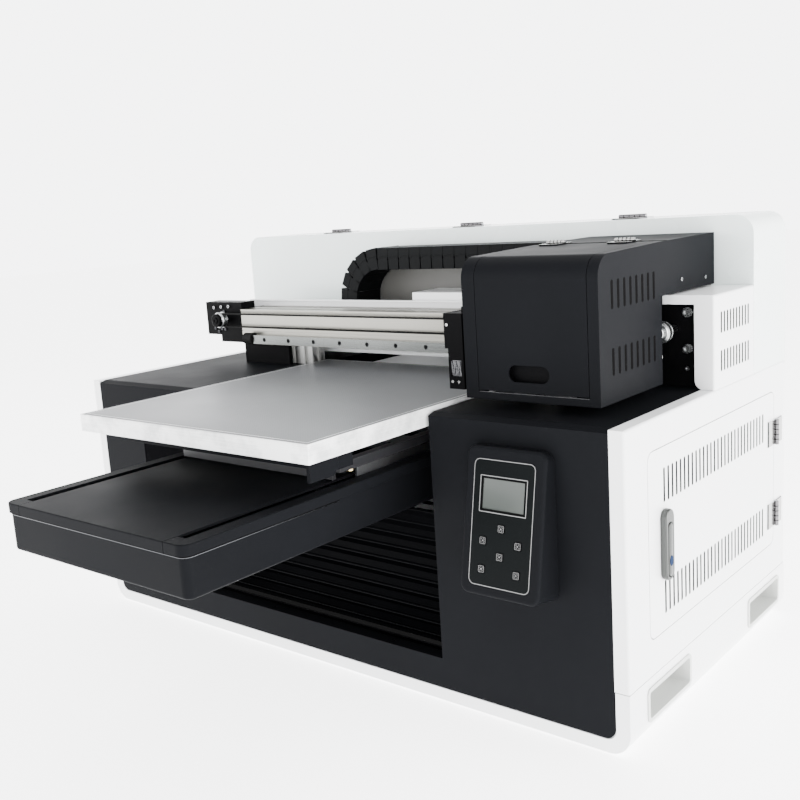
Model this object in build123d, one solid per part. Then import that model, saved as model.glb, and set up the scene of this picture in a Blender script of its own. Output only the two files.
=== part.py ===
from build123d import *
import math
import os

# Flatbed UV printer, millimetres. X runs to the right, Y to the back, Z up.
# The drawing has Y = 0 on the face of the front panel and Z = 0 on the floor.
# Export moves it by half the body's depth, so that the origin is the centre of the base.

# ---------------------------------------------------------------- driving dimensions
body_width = 1000.0
body_depth = 515.0
floor_gap = 2.0                 # height of the feet under the skirt
seam_z = 82.0                   # joint between skirt and upper housing
deck_z = 395.0
cover_top_z = 613.5
cover_front_y = 389.0
sheet = 2.5                     # sheet metal of the housing
flange = 19.0                   # folded edge of a side panel
skirt_radius = 28.0
cover_radius = 26.0

bed_x = 4.0                     # centre line of bed, slot in the deck and gantry
platen_width = 440.0
platen_front_y = -212.0
platen_length = 500.0
platen_top_z = 400.0
platen_thick = 24.0
deck_slot_half = 225.0

tub_half = 174.0
tub_front_y = -359.0
tub_back_y = 455.0
tub_bottom_z = 257.0
rim_bottom_z = 307.0
rim_top_z = 320.0
rim_overhang = 3.0
tray_corner_radius = 14.0        # round front corners of the tray's top
slit_x = 150.0                  # slits either side of the centre line
slit_width = 14.0
slit_front_y = -342.0
slit_back_y = 360.0

opening_left_x = -374.0
opening_right_x = 229.0
opening_sill_z = 62.0
opening_head_z = 365.0

beam_left_x = -377.0
beam_right_x = 385.0
beam_front_y = 240.0
beam_back_y = 305.0
beam_bottom_z = 429.0
beam_top_z = 490.7
rail_z = 439.5                  # centre of the carriage rail
rail_size = 15.0
rail_pitch = 60.0

pulley_z = 472.0
idler_x = -422.0
idler_plate_left_x = -475.0
drive_x = 438.0
belt_radius = 11.0              # inner face of the belt on a pulley
belt_thick = 1.5
belt_front_y = 226.4
belt_back_y = 233.6
shaft_radius = 5.0
shaft_clearance = 0.05

head_left_x = 257.0
head_right_x = 448.0
head_front_y = 47.0
head_back_y = 212.0
head_bottom_z = 408.0
head_arm_z = 521.0              # underside of the arm that reaches over the gantry
head_arm_y = 380.0
head_top_front_z = 585.0
head_top_hinge_z = 589.5        # top of the cover where its lid is hinged
head_top_back_z = 591.5
head_radius = 27.0
shell = 2.0
lid_left_x = 277.0
lid_right_x = 433.0
lid_bottom_z = 418.0
lid_hinge_y = 221.0
lid_gap = 0.8
lid_sill_gap = 2.0               # wider gap under the lid's front

chain_front_y = 313.0
chain_back_y = 377.0
chain_link_height = 36.0
chain_link_pitch = 22.8
chain_bend_x = -109.0
chain_bend_z = 501.2
chain_bend_radius = 87.0
chain_end_x = 440.0
chain_travel = 280.0            # the bend moves half as far as the carriage

door_front_y = 57.0
door_back_y = 468.0
door_bottom_z = 127.0
door_top_z = 356.0
door_radius = 12.0
door_gap = 1.2
door_axis_x = 503.6
door_axis_y = 472.0

panel_x = 355.0                 # control panel, a wedge on the right-hand pillar
panel_width = 112.0
panel_top_z = 365.0
panel_bottom_z = 187.0
panel_top_depth = 15.0
panel_bottom_depth = 48.0
key_size = 9.0
key_places = {
    "button_up": (0.0, -6.0),
    "button_left": (-25.0, -23.0),
    "button_right": (24.5, -23.0),
    "button_down": (0.0, -39.6),
    "button_stop": (-25.0, -57.5),
    "button_start": (24.5, -57.5),
}

half_width = body_width / 2


# ---------------------------------------------------------------- small helpers
def block(x0, x1, y0, y1, z0, z1):
    """A box between two corners."""
    centre = Pos((x0 + x1) / 2, (y0 + y1) / 2, (z0 + z1) / 2)
    return centre * Box(x1 - x0, y1 - y0, z1 - z0)


def along_y(face, y0, y1):
    """A face drawn in X and Z, pushed from y0 to y1."""
    return Pos(0, y0, 0) * extrude(Plane.XZ * face, amount=-(y1 - y0))


def along_x(face, x0, x1):
    """A face drawn in Y and Z, pushed from x0 to x1."""
    return Pos(x0, 0, 0) * extrude(Plane.YZ * face, amount=x1 - x0)


def along_z(face, z0, z1):
    """A face drawn in X and Y, pushed from z0 to z1."""
    return Pos(0, 0, z0) * extrude(face, amount=z1 - z0)


def rounded(u0, u1, v0, v1, radius):
    """A rectangle with four round corners, between two corners."""
    return Pos((u0 + u1) / 2, (v0 + v1) / 2) * RectangleRounded(u1 - u0, v1 - v0, radius)


def rod_y(x, z, radius, y0, y1):
    return along_y(Pos(x, z) * Circle(radius), y0, y1)


def rod_x(y, z, radius, x0, x1):
    return along_x(Pos(y, z) * Circle(radius), x0, x1)


def rod_z(x, y, radius, z0, z1):
    return along_z(Pos(x, y) * Circle(radius), z0, z1)


def group(*shapes):
    """Separate solids that share one node."""
    return Compound([piece for shape in shapes for piece in shape.solids()])


def mirrored(shape):
    """The same piece on the other side of the bed's centre line."""
    return Pos(2 * bed_x, 0, 0) * mirror(shape, Plane.YZ)


def both_sides(shape):
    """A piece of the housing and its mirror image."""
    return group(shape, mirror(shape, Plane.YZ))


def slots_on_side(x0, x1, y_first, y_last, count, z0, z1, width):
    """A row of upright slots through a side wall."""
    step = (y_last - y_first) / (count - 1)
    cutters = Part()
    for index in range(count):
        y = y_first + index * step
        cutters += along_x(rounded(y - width / 2, y + width / 2, z0, z1, width * 0.45), x0, x1)
    return cutters


# ---------------------------------------------------------------- housing
def skirt_profile(inset):
    """Front view of the skirt: square at the top, round at the bottom."""
    bottom = floor_gap + inset
    width = body_width - 2 * inset
    top = seam_z - 1.0
    face = Pos(0, (bottom + top) / 2) * Rectangle(width, top - bottom)
    corners = face.vertices().sort_by(Axis.Y)[:2]
    return fillet(corners, skirt_radius - inset)


grip_rows = ((48.0, 166.0), (369.0, 487.0))
grip_bottom_z = 29.0
grip_top_z = 67.0


def bottom_skirt():
    wall = 3.0
    tub = along_y(skirt_profile(0), 0, body_depth)
    tub -= along_y(skirt_profile(wall), 2 * wall, body_depth - wall)
    tub -= block(-half_width + wall, half_width - wall, 2 * wall, body_depth - wall, 60, seam_z)
    tub -= block(opening_left_x - 4, opening_right_x + 7, wall - 1, 2 * wall + 1, 20, seam_z)
    pocket_side = half_width - flange + 1.0
    tub -= along_y(rounded(-pocket_side, pocket_side, 19.0, 120.0, 14.0), -1, wall)
    for y0, y1 in grip_rows:
        hole = rounded(y0 - 0.3, y1 + 0.3, grip_bottom_z - 0.3, grip_top_z + 0.3, 6.0)
        tub -= along_x(hole, -half_width - 1, half_width + 1)
    return tub


def carry_grips():
    """Recessed plastic cups, each with a raised frame around its mouth."""
    depth = 32.0
    wall = 2.0
    frame_width = 3.0
    cups = []
    for y0, y1 in grip_rows:
        outer = rounded(y0, y1, grip_bottom_z, grip_top_z, 5.7)
        inner = rounded(y0 + wall, y1 - wall, grip_bottom_z + wall, grip_top_z - wall, 4.0)
        border = rounded(y0 - frame_width, y1 + frame_width,
                         grip_bottom_z - frame_width, grip_top_z + frame_width, 8.0)
        cup = along_x(outer, half_width - depth, half_width)
        cup += along_x(border, half_width, half_width + 1.6)
        cup -= along_x(inner, half_width - depth + wall, half_width + 2)
        cups.append(both_sides(cup))
    return group(*cups)


def rubber_feet():
    feet = []
    for x in (-430.0, 0.0, 430.0):
        for y in (45.0, body_depth / 2, body_depth - 45.0):
            feet.append(rod_z(x, y, 18.0, 0, floor_gap))
    return group(*feet)


def side_panel(inner_side_x):
    """Right-hand side panel with folded front, top and back edges."""
    outer = block(inner_side_x, half_width, 0, body_depth, seam_z, deck_z)
    long_edges = outer.edges().filter_by(Axis.Z).group_by(Axis.X)[-1]
    top_edge = outer.edges().filter_by(Axis.Y).group_by(Axis.X)[-1].sort_by(Axis.Z)[-1:]
    outer = fillet(long_edges + top_edge, 3.0)
    hollow_top = deck_z - sheet
    outer -= block(inner_side_x - 1, half_width - 2, sheet, body_depth - 2, seam_z - 1, hollow_top)
    return outer


def door_outline(grow):
    return rounded(door_front_y - grow, door_back_y + grow,
                   door_bottom_z - grow, door_top_z + grow, door_radius + grow)


def side_panel_right():
    panel = side_panel(half_width - flange)
    return panel - along_x(door_outline(door_gap), half_width - 5, half_width + 5)


def side_panel_left():
    return mirror(side_panel(half_width - flange), Plane.YZ)


def front_panel():
    side = half_width - flange - 0.5
    plate = along_y(rounded(-side, side, 20.0, 450.0, 13.0), 0, sheet)
    plate &= block(-side, side, 0, sheet, 20.0, deck_z - 4.0)
    plate -= block(opening_left_x, opening_right_x, -1, sheet + 1, opening_sill_z, opening_head_z)
    slot_left = bed_x - deck_slot_half
    slot_right = bed_x + deck_slot_half
    plate -= block(slot_left, slot_right, -1, sheet + 1, opening_head_z - 1, deck_z)
    sill = block(opening_left_x, opening_right_x, 0, 19.0, opening_sill_z - sheet, opening_sill_z)
    for x in (-300.0, -101.0, 137.0):
        sill -= rod_z(x, 9.0, 3.0, opening_sill_z - 5, opening_sill_z + 1)
    bevel = Polyline((0, deck_z - 4), (0, deck_z - 6.5), (sheet, deck_z - 6.5),
                     (14.5, deck_z - sheet), (14.5, deck_z), (12.0, deck_z), close=True)
    fold = make_face(bevel)
    left_fold = along_x(fold, -side, slot_left)
    right_fold = along_x(fold, slot_right, side)
    return plate + sill + left_fold + right_fold


def deck_panels():
    """Left and right deck sheets, each with a fold down along the bed's slot."""
    side = half_width - flange - 0.5
    fold_z = deck_z - 20.0
    back = body_depth - 4.0
    slot_left = bed_x - deck_slot_half
    slot_right = bed_x + deck_slot_half
    left = block(-side, slot_left, 15.0, back, deck_z - sheet, deck_z)
    left += block(slot_left - sheet, slot_left, 15.0, back, fold_z, deck_z)
    right = block(slot_right, side, 15.0, back, deck_z - sheet, deck_z)
    right += block(slot_right, slot_right + sheet, 15.0, back, fold_z, deck_z)
    return group(left, right)


bellows_radius = 141.0
bellows_y = 20.0
bellows_top_z = 199.0
bellows_pleats = 11


def floor_bellows():
    """Pleated dust cover that curves up from the sill to the cross wall behind."""
    def point(radius, share):
        angle = math.radians(90 * share)
        return (bellows_y + radius * math.sin(angle), bellows_top_z - radius * math.cos(angle))
    front = []
    for index in range(bellows_pleats):
        front.append(point(bellows_radius + 5, index / bellows_pleats))
        front.append(point(bellows_radius - 3, (index + 0.72) / bellows_pleats))
    front.append(point(bellows_radius + 5, 1))
    back = [point(bellows_radius + 8, 1 - index / bellows_pleats) for index in range(bellows_pleats + 1)]
    face = make_face(Polyline(*front, *back, close=True))
    return along_x(face, opening_left_x + 0.5, opening_right_x - 0.5)


def inner_frame():
    """Walls of the two pillars, the cross wall behind the bellows and the beams under the bed."""
    back = body_depth - 4.0
    left = block(opening_left_x - sheet, opening_left_x, sheet, back, 20.0, deck_z - 7.0)
    right_x = opening_right_x
    right = block(right_x, right_x + sheet, sheet, back, 20.0, deck_z - 20.5)
    wall_y = bellows_y + bellows_radius + 9.0
    cross = block(opening_left_x, right_x, wall_y, wall_y + sheet, 20.0, bellows_top_z)
    beams = []
    for y in (200.0, 400.0):
        beams.append(block(opening_left_x, right_x, y, y + 40.0, tub_bottom_z - 40.0, tub_bottom_z))
    return group(left, right, cross, *beams)


def cover_profile(inset):
    """Front view of the rear cover: round at the two top corners."""
    bottom = deck_z - (5.0 if inset else 0.0)
    top = cover_top_z - inset
    face = Pos(0, (bottom + top) / 2) * Rectangle(body_width - 2 * inset, top - bottom)
    corners = face.vertices().sort_by(Axis.Y)[2:]
    return fillet(corners, cover_radius - inset)


lid_side_x = 467.0
lid_front_y = 442.0
lid_bottom_back_z = 432.0


def rear_cover():
    """Cover behind the gantry, with a shelf for the ink and a cable box inside the chain's loop."""
    back = body_depth - sheet
    hull = along_y(cover_profile(0), cover_front_y, body_depth)
    hull -= along_y(cover_profile(sheet), cover_front_y + sheet, back)
    gap = 1.0
    side = lid_side_x + gap
    hull -= block(-side, side, lid_front_y - gap, body_depth + 1, cover_top_z - 6, cover_top_z + 1)
    hull -= block(-side, side, back - 1, body_depth + 1, deck_z - 1, cover_top_z + 1)
    slot_left = bed_x - deck_slot_half - 10.0
    slot_right = bed_x + deck_slot_half + 10.0
    hull -= block(slot_left, slot_right, cover_front_y - 1, cover_front_y + 5, deck_z - 1, 436.0)
    inner = half_width - 1.0
    hull += block(-inner, inner, cover_front_y + 1, back - 1, 436.0, 438.5)
    hull += block(-38.0, 150.0, 315.0, cover_front_y + 1, 455.0, 514.0)
    return hull


def rear_lid():
    """Hinged lid over the ink: top and back in one folded sheet, with side folds."""
    back = body_depth - sheet
    lid = block(-lid_side_x, lid_side_x, lid_front_y, body_depth, cover_top_z - sheet, cover_top_z)
    lid += block(-lid_side_x, lid_side_x, back, body_depth, lid_bottom_back_z, cover_top_z)
    grip = rounded(-60.0, 60.0, 452.0, 476.0, 11.0)
    lid -= along_y(grip, back - 1, body_depth + 1)
    for x in lid_hinge_x:
        lid += block(x - 22, x + 22, lid_axis_y + 4.5, lid_axis_y + 26, cover_top_z - 1, cover_top_z + 1.4)
    return lid


def rear_panel():
    side = half_width - flange - 0.5
    y0 = body_depth - sheet
    top = lid_bottom_back_z - 1.5
    plate = block(-side, side, y0, body_depth, seam_z, deck_z - 0.5)
    plate += block(-lid_side_x, lid_side_x, y0, body_depth, deck_z - 1, top)
    for x in range(-200, 220, 20):
        plate -= along_y(rounded(x - 3, x + 3, 140.0, 220.0, 2.9), y0 - 1, body_depth + 1)
    plate -= block(inlet_x - 14.2, inlet_x + 14.2, y0 - 1, body_depth + 1, inlet_z - 10.2, inlet_z + 10.2)
    plate -= block(switch_x - 9.7, switch_x + 9.7, y0 - 1, body_depth + 1, inlet_z - 12.7, inlet_z + 12.7)
    return plate


inlet_x = -440.0
inlet_z = 130.0
switch_x = -400.0
switch_pivot_y = body_depth - 1.0


def power_inlet():
    """Appliance inlet for a mains lead, set in the back panel, with its three blades."""
    body = block(inlet_x - 14, inlet_x + 14, body_depth - 24, body_depth, inlet_z - 10, inlet_z + 10)
    body += block(inlet_x - 17, inlet_x + 17, body_depth, body_depth + 2, inlet_z - 13, inlet_z + 13)
    body -= block(inlet_x - 12, inlet_x + 12, body_depth - 18, body_depth + 3, inlet_z - 8, inlet_z + 8)
    for dx, dz in ((-7.0, -2.0), (0.0, 3.0), (7.0, -2.0)):
        x = inlet_x + dx
        z = inlet_z + dz
        body += block(x - 1, x + 1, body_depth - 20, body_depth - 3, z - 2, z + 2)
    return body


def power_switch():
    """Rocker that tips about a level axis."""
    rocker = block(switch_x - 9, switch_x + 9, body_depth - 8, body_depth + 1.5, inlet_z - 11, inlet_z + 11)
    hump = Pos(switch_pivot_y, inlet_z) * Circle(11.4)
    rocker &= along_x(hump, switch_x - 9, switch_x + 9)
    return rocker


hinge_height = 37.0
door_hinge_z = (153.0, 277.0)
lid_hinge_x = (-300.0, 0.0, 297.0)
lid_hinge_z = cover_top_z + 3.6
lid_axis_y = 440.0
knuckle_radius = 3.2


def cabinet_hinges():
    """Fixed leaf, barrel and pin of each hinge; the other leaf belongs to the door or lid."""
    pieces = []
    for z0 in door_hinge_z:
        z1 = z0 + hinge_height
        barrel = rod_z(door_axis_x, door_axis_y, knuckle_radius, z0, z1)
        leaf = block(half_width, half_width + 1.4, door_axis_y + 1, door_axis_y + 26, z0, z1)
        pieces.append(barrel + leaf)
    for x in lid_hinge_x:
        barrel = rod_x(lid_axis_y, lid_hinge_z, knuckle_radius, x - 22, x + 22)
        leaf = block(x - 22, x + 22, lid_axis_y - 24, lid_axis_y - 1, cover_top_z, cover_top_z + 1.4)
        pieces.append(barrel + leaf)
    return group(*pieces)


def side_door():
    door = along_x(door_outline(0), half_width - 2.0, half_width)
    for z0, z1 in ((148.0, 190.5), (288.0, 330.5)):
        door -= slots_on_side(half_width - 5, half_width + 5, 100.0, 424.5, 29, z0, z1, 5.0)
    for z in door_hinge_z:
        leaf_y = door_axis_y - knuckle_radius - 1.0
        door += block(half_width - 1, half_width + 1.4, leaf_y - 22, leaf_y, z, z + hinge_height)
    return door


handle_front_y = 87.0
handle_back_y = 109.0
handle_bottom_z = 192.0
handle_top_z = 281.0
handle_depth = 8.4
lever_axis_x = half_width + 6.3
lever_axis_z = 261.0
lever_bottom_z = 197.0
lever_half_thick = 3.0
lever_side_gap = 0.3
lock_z = 217.0


def door_handle():
    """Capsule-shaped body of the swing handle with the recess that the lever folds into."""
    body = along_x(rounded(handle_front_y, handle_back_y, handle_bottom_z, handle_top_z, 10.9),
                   half_width, half_width + handle_depth)
    body = fillet(body.edges().group_by(Axis.X)[-1], 2.5)
    y0 = handle_front_y + 5 - lever_side_gap
    y1 = handle_back_y - 5 + lever_side_gap
    floor_x = lever_axis_x - lever_half_thick - lever_side_gap
    recess = rounded(y0, y1, lever_bottom_z - 0.6, lever_axis_z, 6.2)
    body -= along_x(recess, floor_x, half_width + 20)
    body -= block(floor_x, half_width + 20, y0, y1, 230.0, lever_axis_z + lever_half_thick + 0.6)
    return body


def door_lever():
    """Folding lever with a round barrel along its top and a round lock button low down."""
    y0 = handle_front_y + 5
    y1 = handle_back_y - 5
    low_x = lever_axis_x - lever_half_thick
    high_x = lever_axis_x + lever_half_thick
    lever = along_x(rounded(y0, y1, lever_bottom_z, lever_axis_z + 20, 5.9), low_x, high_x)
    lever &= block(low_x, high_x, y0, y1, 190, lever_axis_z)
    lever += rod_y(lever_axis_x, lever_axis_z, lever_half_thick, y0, y1)
    return lever + rod_x((y0 + y1) / 2, lock_z, 5.0, lever_axis_x, high_x + 0.4)


# ---------------------------------------------------------------- control panel
panel_slope = math.atan2(panel_bottom_depth - panel_top_depth, panel_top_z - panel_bottom_z)
panel_normal = (0, -math.cos(panel_slope), math.sin(panel_slope))
panel_centre = (panel_x, -(panel_top_depth + panel_bottom_depth) / 2, (panel_top_z + panel_bottom_z) / 2)
panel_plane = Plane(origin=panel_centre, x_dir=(1, 0, 0), z_dir=panel_normal)
panel_height = (panel_top_z - panel_bottom_z) / math.cos(panel_slope)
panel_wall = 3.0
screen_y = 33.6
screen_width = 62.0
screen_height = 40.0


def on_panel(face, low, high):
    """A face drawn on the panel's slope, pushed from one depth to another along its normal."""
    return extrude(panel_plane.offset(low) * face, amount=high - low)


def control_housing():
    reach = 90.0
    in_front = block(0, body_width, -100, 0, 100, 450)
    hull = on_panel(RectangleRounded(panel_width, panel_height, 12.0), -reach, 0)
    hull = fillet(top_edges(hull), 4.5)
    hull &= in_front
    inner_width = panel_width - 2 * panel_wall
    inner_height = panel_height - 2 * panel_wall
    hull -= on_panel(RectangleRounded(inner_width, inner_height, 9.0), -reach, -panel_wall)
    hull -= on_panel(Pos(0, screen_y) * Rectangle(screen_width, screen_height), -5, 1)
    for x, y in key_places.values():
        hull -= on_panel(Pos(x, y) * RectangleRounded(key_size + 0.8, key_size + 0.8, 2.2), -5, 1)
    return hull


def top_edges(shape):
    """Edges of the face that looks along the panel's normal."""
    normal = Vector(*panel_normal)
    faces = [face for face in shape.faces() if face.normal_at().dot(normal) > 0.999]
    return faces[0].edges()


def lcd_screen():
    return on_panel(Pos(0, screen_y) * Rectangle(screen_width - 0.4, screen_height - 0.4), -3.0, -0.8)


def control_key(x, y):
    cap = on_panel(Pos(x, y) * RectangleRounded(key_size, key_size, 1.8), -4.5, 1.2)
    return cap


# ---------------------------------------------------------------- bed
def bed_tub():
    """Long tray that holds the bed's rails and screw, open on top."""
    wall = 3.0
    x0 = bed_x - tub_half
    x1 = bed_x + tub_half
    top = rim_bottom_z - 0.8
    outline = Pos(bed_x, (tub_front_y + tub_back_y) / 2) * Rectangle(2 * tub_half, tub_back_y - tub_front_y)
    outer_radius = tray_corner_radius - rim_overhang
    outline = fillet(outline.vertices().sort_by(Axis.Y)[:2], outer_radius)
    tub = along_z(outline, tub_bottom_z, top)
    tub = fillet(tub.edges().group_by(Axis.Z)[0], 4.0)
    inner = Pos(bed_x, (tub_front_y + tub_back_y) / 2) * Rectangle(
        2 * (tub_half - wall), tub_back_y - tub_front_y - 2 * wall)
    inner = fillet(inner.vertices().sort_by(Axis.Y)[:2], outer_radius - wall)
    tub -= along_z(inner, tub_bottom_z + wall, top + 1)
    bearing = block(bed_x - 25, bed_x + 25, tub_front_y + 20, tub_front_y + 36, tub_bottom_z + 1, 296.0)
    tub += bearing
    tub -= rod_y(bed_x, screw_z, screw_radius + shaft_clearance, tub_front_y + 10, tub_back_y + 5)
    return tub


screw_z = 277.0
screw_radius = 8.0
screw_front_y = tub_front_y + 22.0
carriage_front_y = -60.0
carriage_back_y = 140.0
carriage_top_z = 294.0
bed_rail_x = 110.0
bar_bottom_z = 333.0
bar_top_z = 345.0


def rim_outline():
    """Plan of the whole top of the bed's tray, with round front corners."""
    front = tub_front_y - rim_overhang
    half = tub_half + rim_overhang
    face = Pos(bed_x, (front + tub_back_y) / 2) * Rectangle(2 * half, tub_back_y - front)
    return fillet(face.vertices().sort_by(Axis.Y)[:2], tray_corner_radius)


def rim_shell():
    """Top sheet and turned-down edge of the tray's top, before it is cut into three."""
    front = tub_front_y - rim_overhang
    solid = along_z(rim_outline(), rim_bottom_z, rim_top_z)
    solid = fillet(solid.edges().group_by(Axis.Z)[-1], 1.5)
    wall = 3.0
    half = tub_half + rim_overhang - wall
    inner = Pos(bed_x, (front + wall + tub_back_y) / 2) * Rectangle(2 * half, tub_back_y - front - wall + 2)
    inner = fillet(inner.vertices().sort_by(Axis.Y)[:2], tray_corner_radius - wall)
    solid -= along_z(inner, rim_bottom_z - 1, rim_top_z - wall)
    for side in (-1, 1):
        x = bed_x + side * slit_x
        slit = rounded(x - slit_width / 2, x + slit_width / 2, slit_front_y, slit_back_y, 1.0)
        solid -= along_z(slit, rim_bottom_z - 5, rim_top_z + 1)
    return solid


def bed_rims():
    """Left and right edges of the tray's top, joined to the middle in line with the slits."""
    joint = slit_x - slit_width / 2
    middle = block(bed_x - joint, bed_x + joint, -500, 500, 300, 330)
    return group(rim_shell() - middle)


def bed_centre_plate():
    joint = slit_x - slit_width / 2 - 0.8
    return rim_shell() & block(bed_x - joint, bed_x + joint, -500, 500, 300, 330)


def rail_hole_places(start, end, pitch):
    count = int((end - start - pitch / 2) // pitch)
    margin = (end - start - count * pitch) / 2
    return [start + margin + index * pitch for index in range(count + 1)]


def linear_rails():
    """Carriage rail on the beam's face and the bed's two rails in the tray, with screw holes."""
    half = rail_size / 2
    start = -334.0
    end = beam_right_x - 2.0
    front = beam_front_y - rail_size
    x_rail = block(start, end, front, beam_front_y, rail_z - half, rail_z + half)
    for x in rail_hole_places(start, end, rail_pitch):
        x_rail -= rod_y(x, rail_z, 3.75, front - 1, front + 6)
        x_rail -= rod_y(x, rail_z, 2.25, front, beam_front_y + 1)
    floor = tub_bottom_z + 3.0
    rails = [x_rail]
    for side in (-1, 1):
        x = bed_x + side * bed_rail_x
        y0 = tub_front_y + 18
        y1 = tub_back_y - 8
        rail = block(x - half, x + half, y0, y1, floor, floor + rail_size)
        for y in rail_hole_places(y0, y1, rail_pitch):
            rail -= rod_z(x, y, 3.75, floor + 9, floor + rail_size + 1)
        rails.append(rail)
    return group(*rails)


def y_screw():
    """Lead screw that drives the bed."""
    return rod_y(bed_x, screw_z, screw_radius, screw_front_y, tub_back_y + 1.5)


def stepper(x, z, size, y0, y1):
    """A square motor with cut corners, its shaft axis along Y."""
    face = Pos(x, z) * Rectangle(size, size)
    face = chamfer(face.vertices(), size * 0.09)
    return along_y(face, y0, y1)


def stepper_motors():
    carriage_motor = stepper(drive_x, pulley_z, 56.0, 276.0, 322.0)
    bed_motor = stepper(bed_x, screw_z + 6.0, 56.0, tub_back_y + 2.0, tub_back_y + 50.0)
    return group(carriage_motor, bed_motor)


def bed_carriage():
    """Sled inside the tray: plate, four bearing blocks, screw nut and the two plates in the slits."""
    floor = tub_bottom_z + 3.0
    plate_bottom = carriage_top_z - 6.0
    plate = block(bed_x - 162, bed_x + 162, carriage_front_y, carriage_back_y, plate_bottom, carriage_top_z)
    nut = block(bed_x - 18, bed_x + 18, 10, 60, floor + 3, plate_bottom)
    nut -= rod_y(bed_x, screw_z, screw_radius + shaft_clearance, 0, 70)
    risers = []
    for side in (-1, 1):
        x = bed_x + side * slit_x
        risers.append(block(x - 2, x + 2, carriage_front_y, carriage_back_y, carriage_top_z, bar_bottom_z))
    blocks = []
    half = rail_size / 2
    for side in (-1, 1):
        x = bed_x + side * bed_rail_x
        for y in (carriage_front_y, carriage_back_y - 56):
            bearing = block(x - 17, x + 17, y, y + 56, floor + 4, plate_bottom)
            bearing -= block(x - half - 0.3, x + half + 0.3, y - 1, y + 57, floor, floor + rail_size + 0.4)
            blocks.append(bearing)
    return group(plate, nut, *risers, *blocks)


def lift_bars():
    """Aluminium side bars above the slits and the cross bars between them."""
    bars = []
    for side in (-1, 1):
        x = bed_x + side * (slit_x + 3)
        bars.append(block(x - 7, x + 7, -100, 200, bar_bottom_z, bar_top_z))
    inner = slit_x - 4
    bars.append(block(bed_x - inner, bed_x + inner, -100, -94, rim_top_z + 2, bar_top_z))
    middle = block(bed_x - inner, bed_x + inner, 18, 58, bar_bottom_z, bar_top_z)
    middle -= rod_z(bed_x, 38, lift_screw_radius + shaft_clearance, 300, 360)
    bars.append(middle)
    bars.append(block(bed_x - inner, bed_x + inner, 160, 166, rim_top_z + 2, bar_top_z))
    return group(*bars)


lift_screw_radius = 6.0
lift_screw_top_z = platen_top_z - 26.0
lift_nut_height = 10.0


def lift_screw():
    screw = rod_z(bed_x, 38, lift_screw_radius, rim_top_z + 2, lift_screw_top_z)
    collar = rod_z(bed_x, 38, 11.0, rim_top_z + 2, bar_bottom_z - 0.3)
    return screw + collar


def platen_frame():
    """Front and back cross members under the platen, a corner bracket and the lift nut."""
    top = platen_top_z - platen_thick
    bottom = top - 21.0
    x0 = bed_x - platen_width / 2
    x1 = bed_x + platen_width / 2
    y1 = platen_front_y + platen_length
    front_y = platen_front_y + 47
    front = block(x0 + 14, x1 - 14, front_y, front_y + 40, bottom, top)
    bracket = block(x1 - 5, x1, platen_front_y, front_y, bottom, top)
    low_back = bracket.edges().filter_by(Axis.X).group_by(Axis.Z)[0].sort_by(Axis.Y)[-1:]
    bracket = chamfer(low_back, 9.0)
    back = block(x0, x1, y1 - 46, y1, bottom, top)
    nut = block(bed_x - 20, bed_x + 20, 20, 56, top - lift_nut_height, top)
    nut -= rod_z(bed_x, 38, lift_screw_radius + shaft_clearance, top - 20, top + 1)
    return group(front, bracket, back, nut)


def platen():
    """Flat table: plate with a milled edge, vacuum holes and a blind pocket for the lift screw."""
    x0 = bed_x - platen_width / 2
    x1 = bed_x + platen_width / 2
    y1 = platen_front_y + platen_length
    top = platen_top_z
    plate = block(x0, x1, platen_front_y, y1, top - platen_thick, top)
    plate = chamfer(plate.edges().group_by(Axis.Z)[-1], 1.0)
    plate -= rod_z(bed_x, 38, lift_screw_radius + 2, top - platen_thick - 1, top - 4)
    return plate


# ---------------------------------------------------------------- gantry
def gantry_beam():
    """Hollow extrusion with two slots in its top and shallow grooves in its face."""
    middle = (beam_front_y + beam_back_y) / 2
    height = beam_top_z - beam_bottom_z
    centre_z = beam_bottom_z + height / 2
    depth = beam_back_y - beam_front_y
    face = Pos(middle, centre_z) * Rectangle(depth, height)
    for y in (beam_front_y + 16, beam_back_y - 16):
        face -= Pos(y, beam_top_z - 3) * Rectangle(8, 8)
        face -= Pos(y, centre_z - 4) * Rectangle(22, 34)
    for z in (rail_z + 13.0, beam_top_z - 3.5):
        face -= Pos(beam_front_y, z) * Rectangle(2.4, 1.4)
    return along_x(face, beam_left_x, beam_right_x)


def rail_bumpers():
    left = rod_x(beam_front_y - 10.2, rail_z + 1, 10.0, -357, -336)
    right = rod_x(beam_front_y - 10.2, rail_z + 1, 10.0, beam_right_x - 1.5, beam_right_x + 10)
    return group(left, right)


def gantry_uprights():
    """Slotted aluminium posts between deck and beam."""
    face = Pos(-251, 272) * Rectangle(60, 30)
    for x in (-266, -236):
        for y in (257, 287):
            face -= Pos(x, y) * Rectangle(8, 9)
    for x in (-281, -221):
        face -= Pos(x, 272) * Rectangle(9, 8)
    post = along_z(face, deck_z, beam_bottom_z)
    return group(post, mirrored(post))


def gantry_legs():
    """Black angle brackets under the ends of the beam."""
    front = block(beam_left_x, -264, 243, 249, deck_z, beam_bottom_z)
    foot = block(beam_left_x, -283, 249, 300, deck_z, deck_z + 4)
    web = block(beam_left_x, beam_left_x + 4, 249, 300, deck_z, beam_bottom_z)
    leg = front + foot + web
    return group(leg, mirrored(leg))


end_flange_back_y = 276.0


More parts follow.
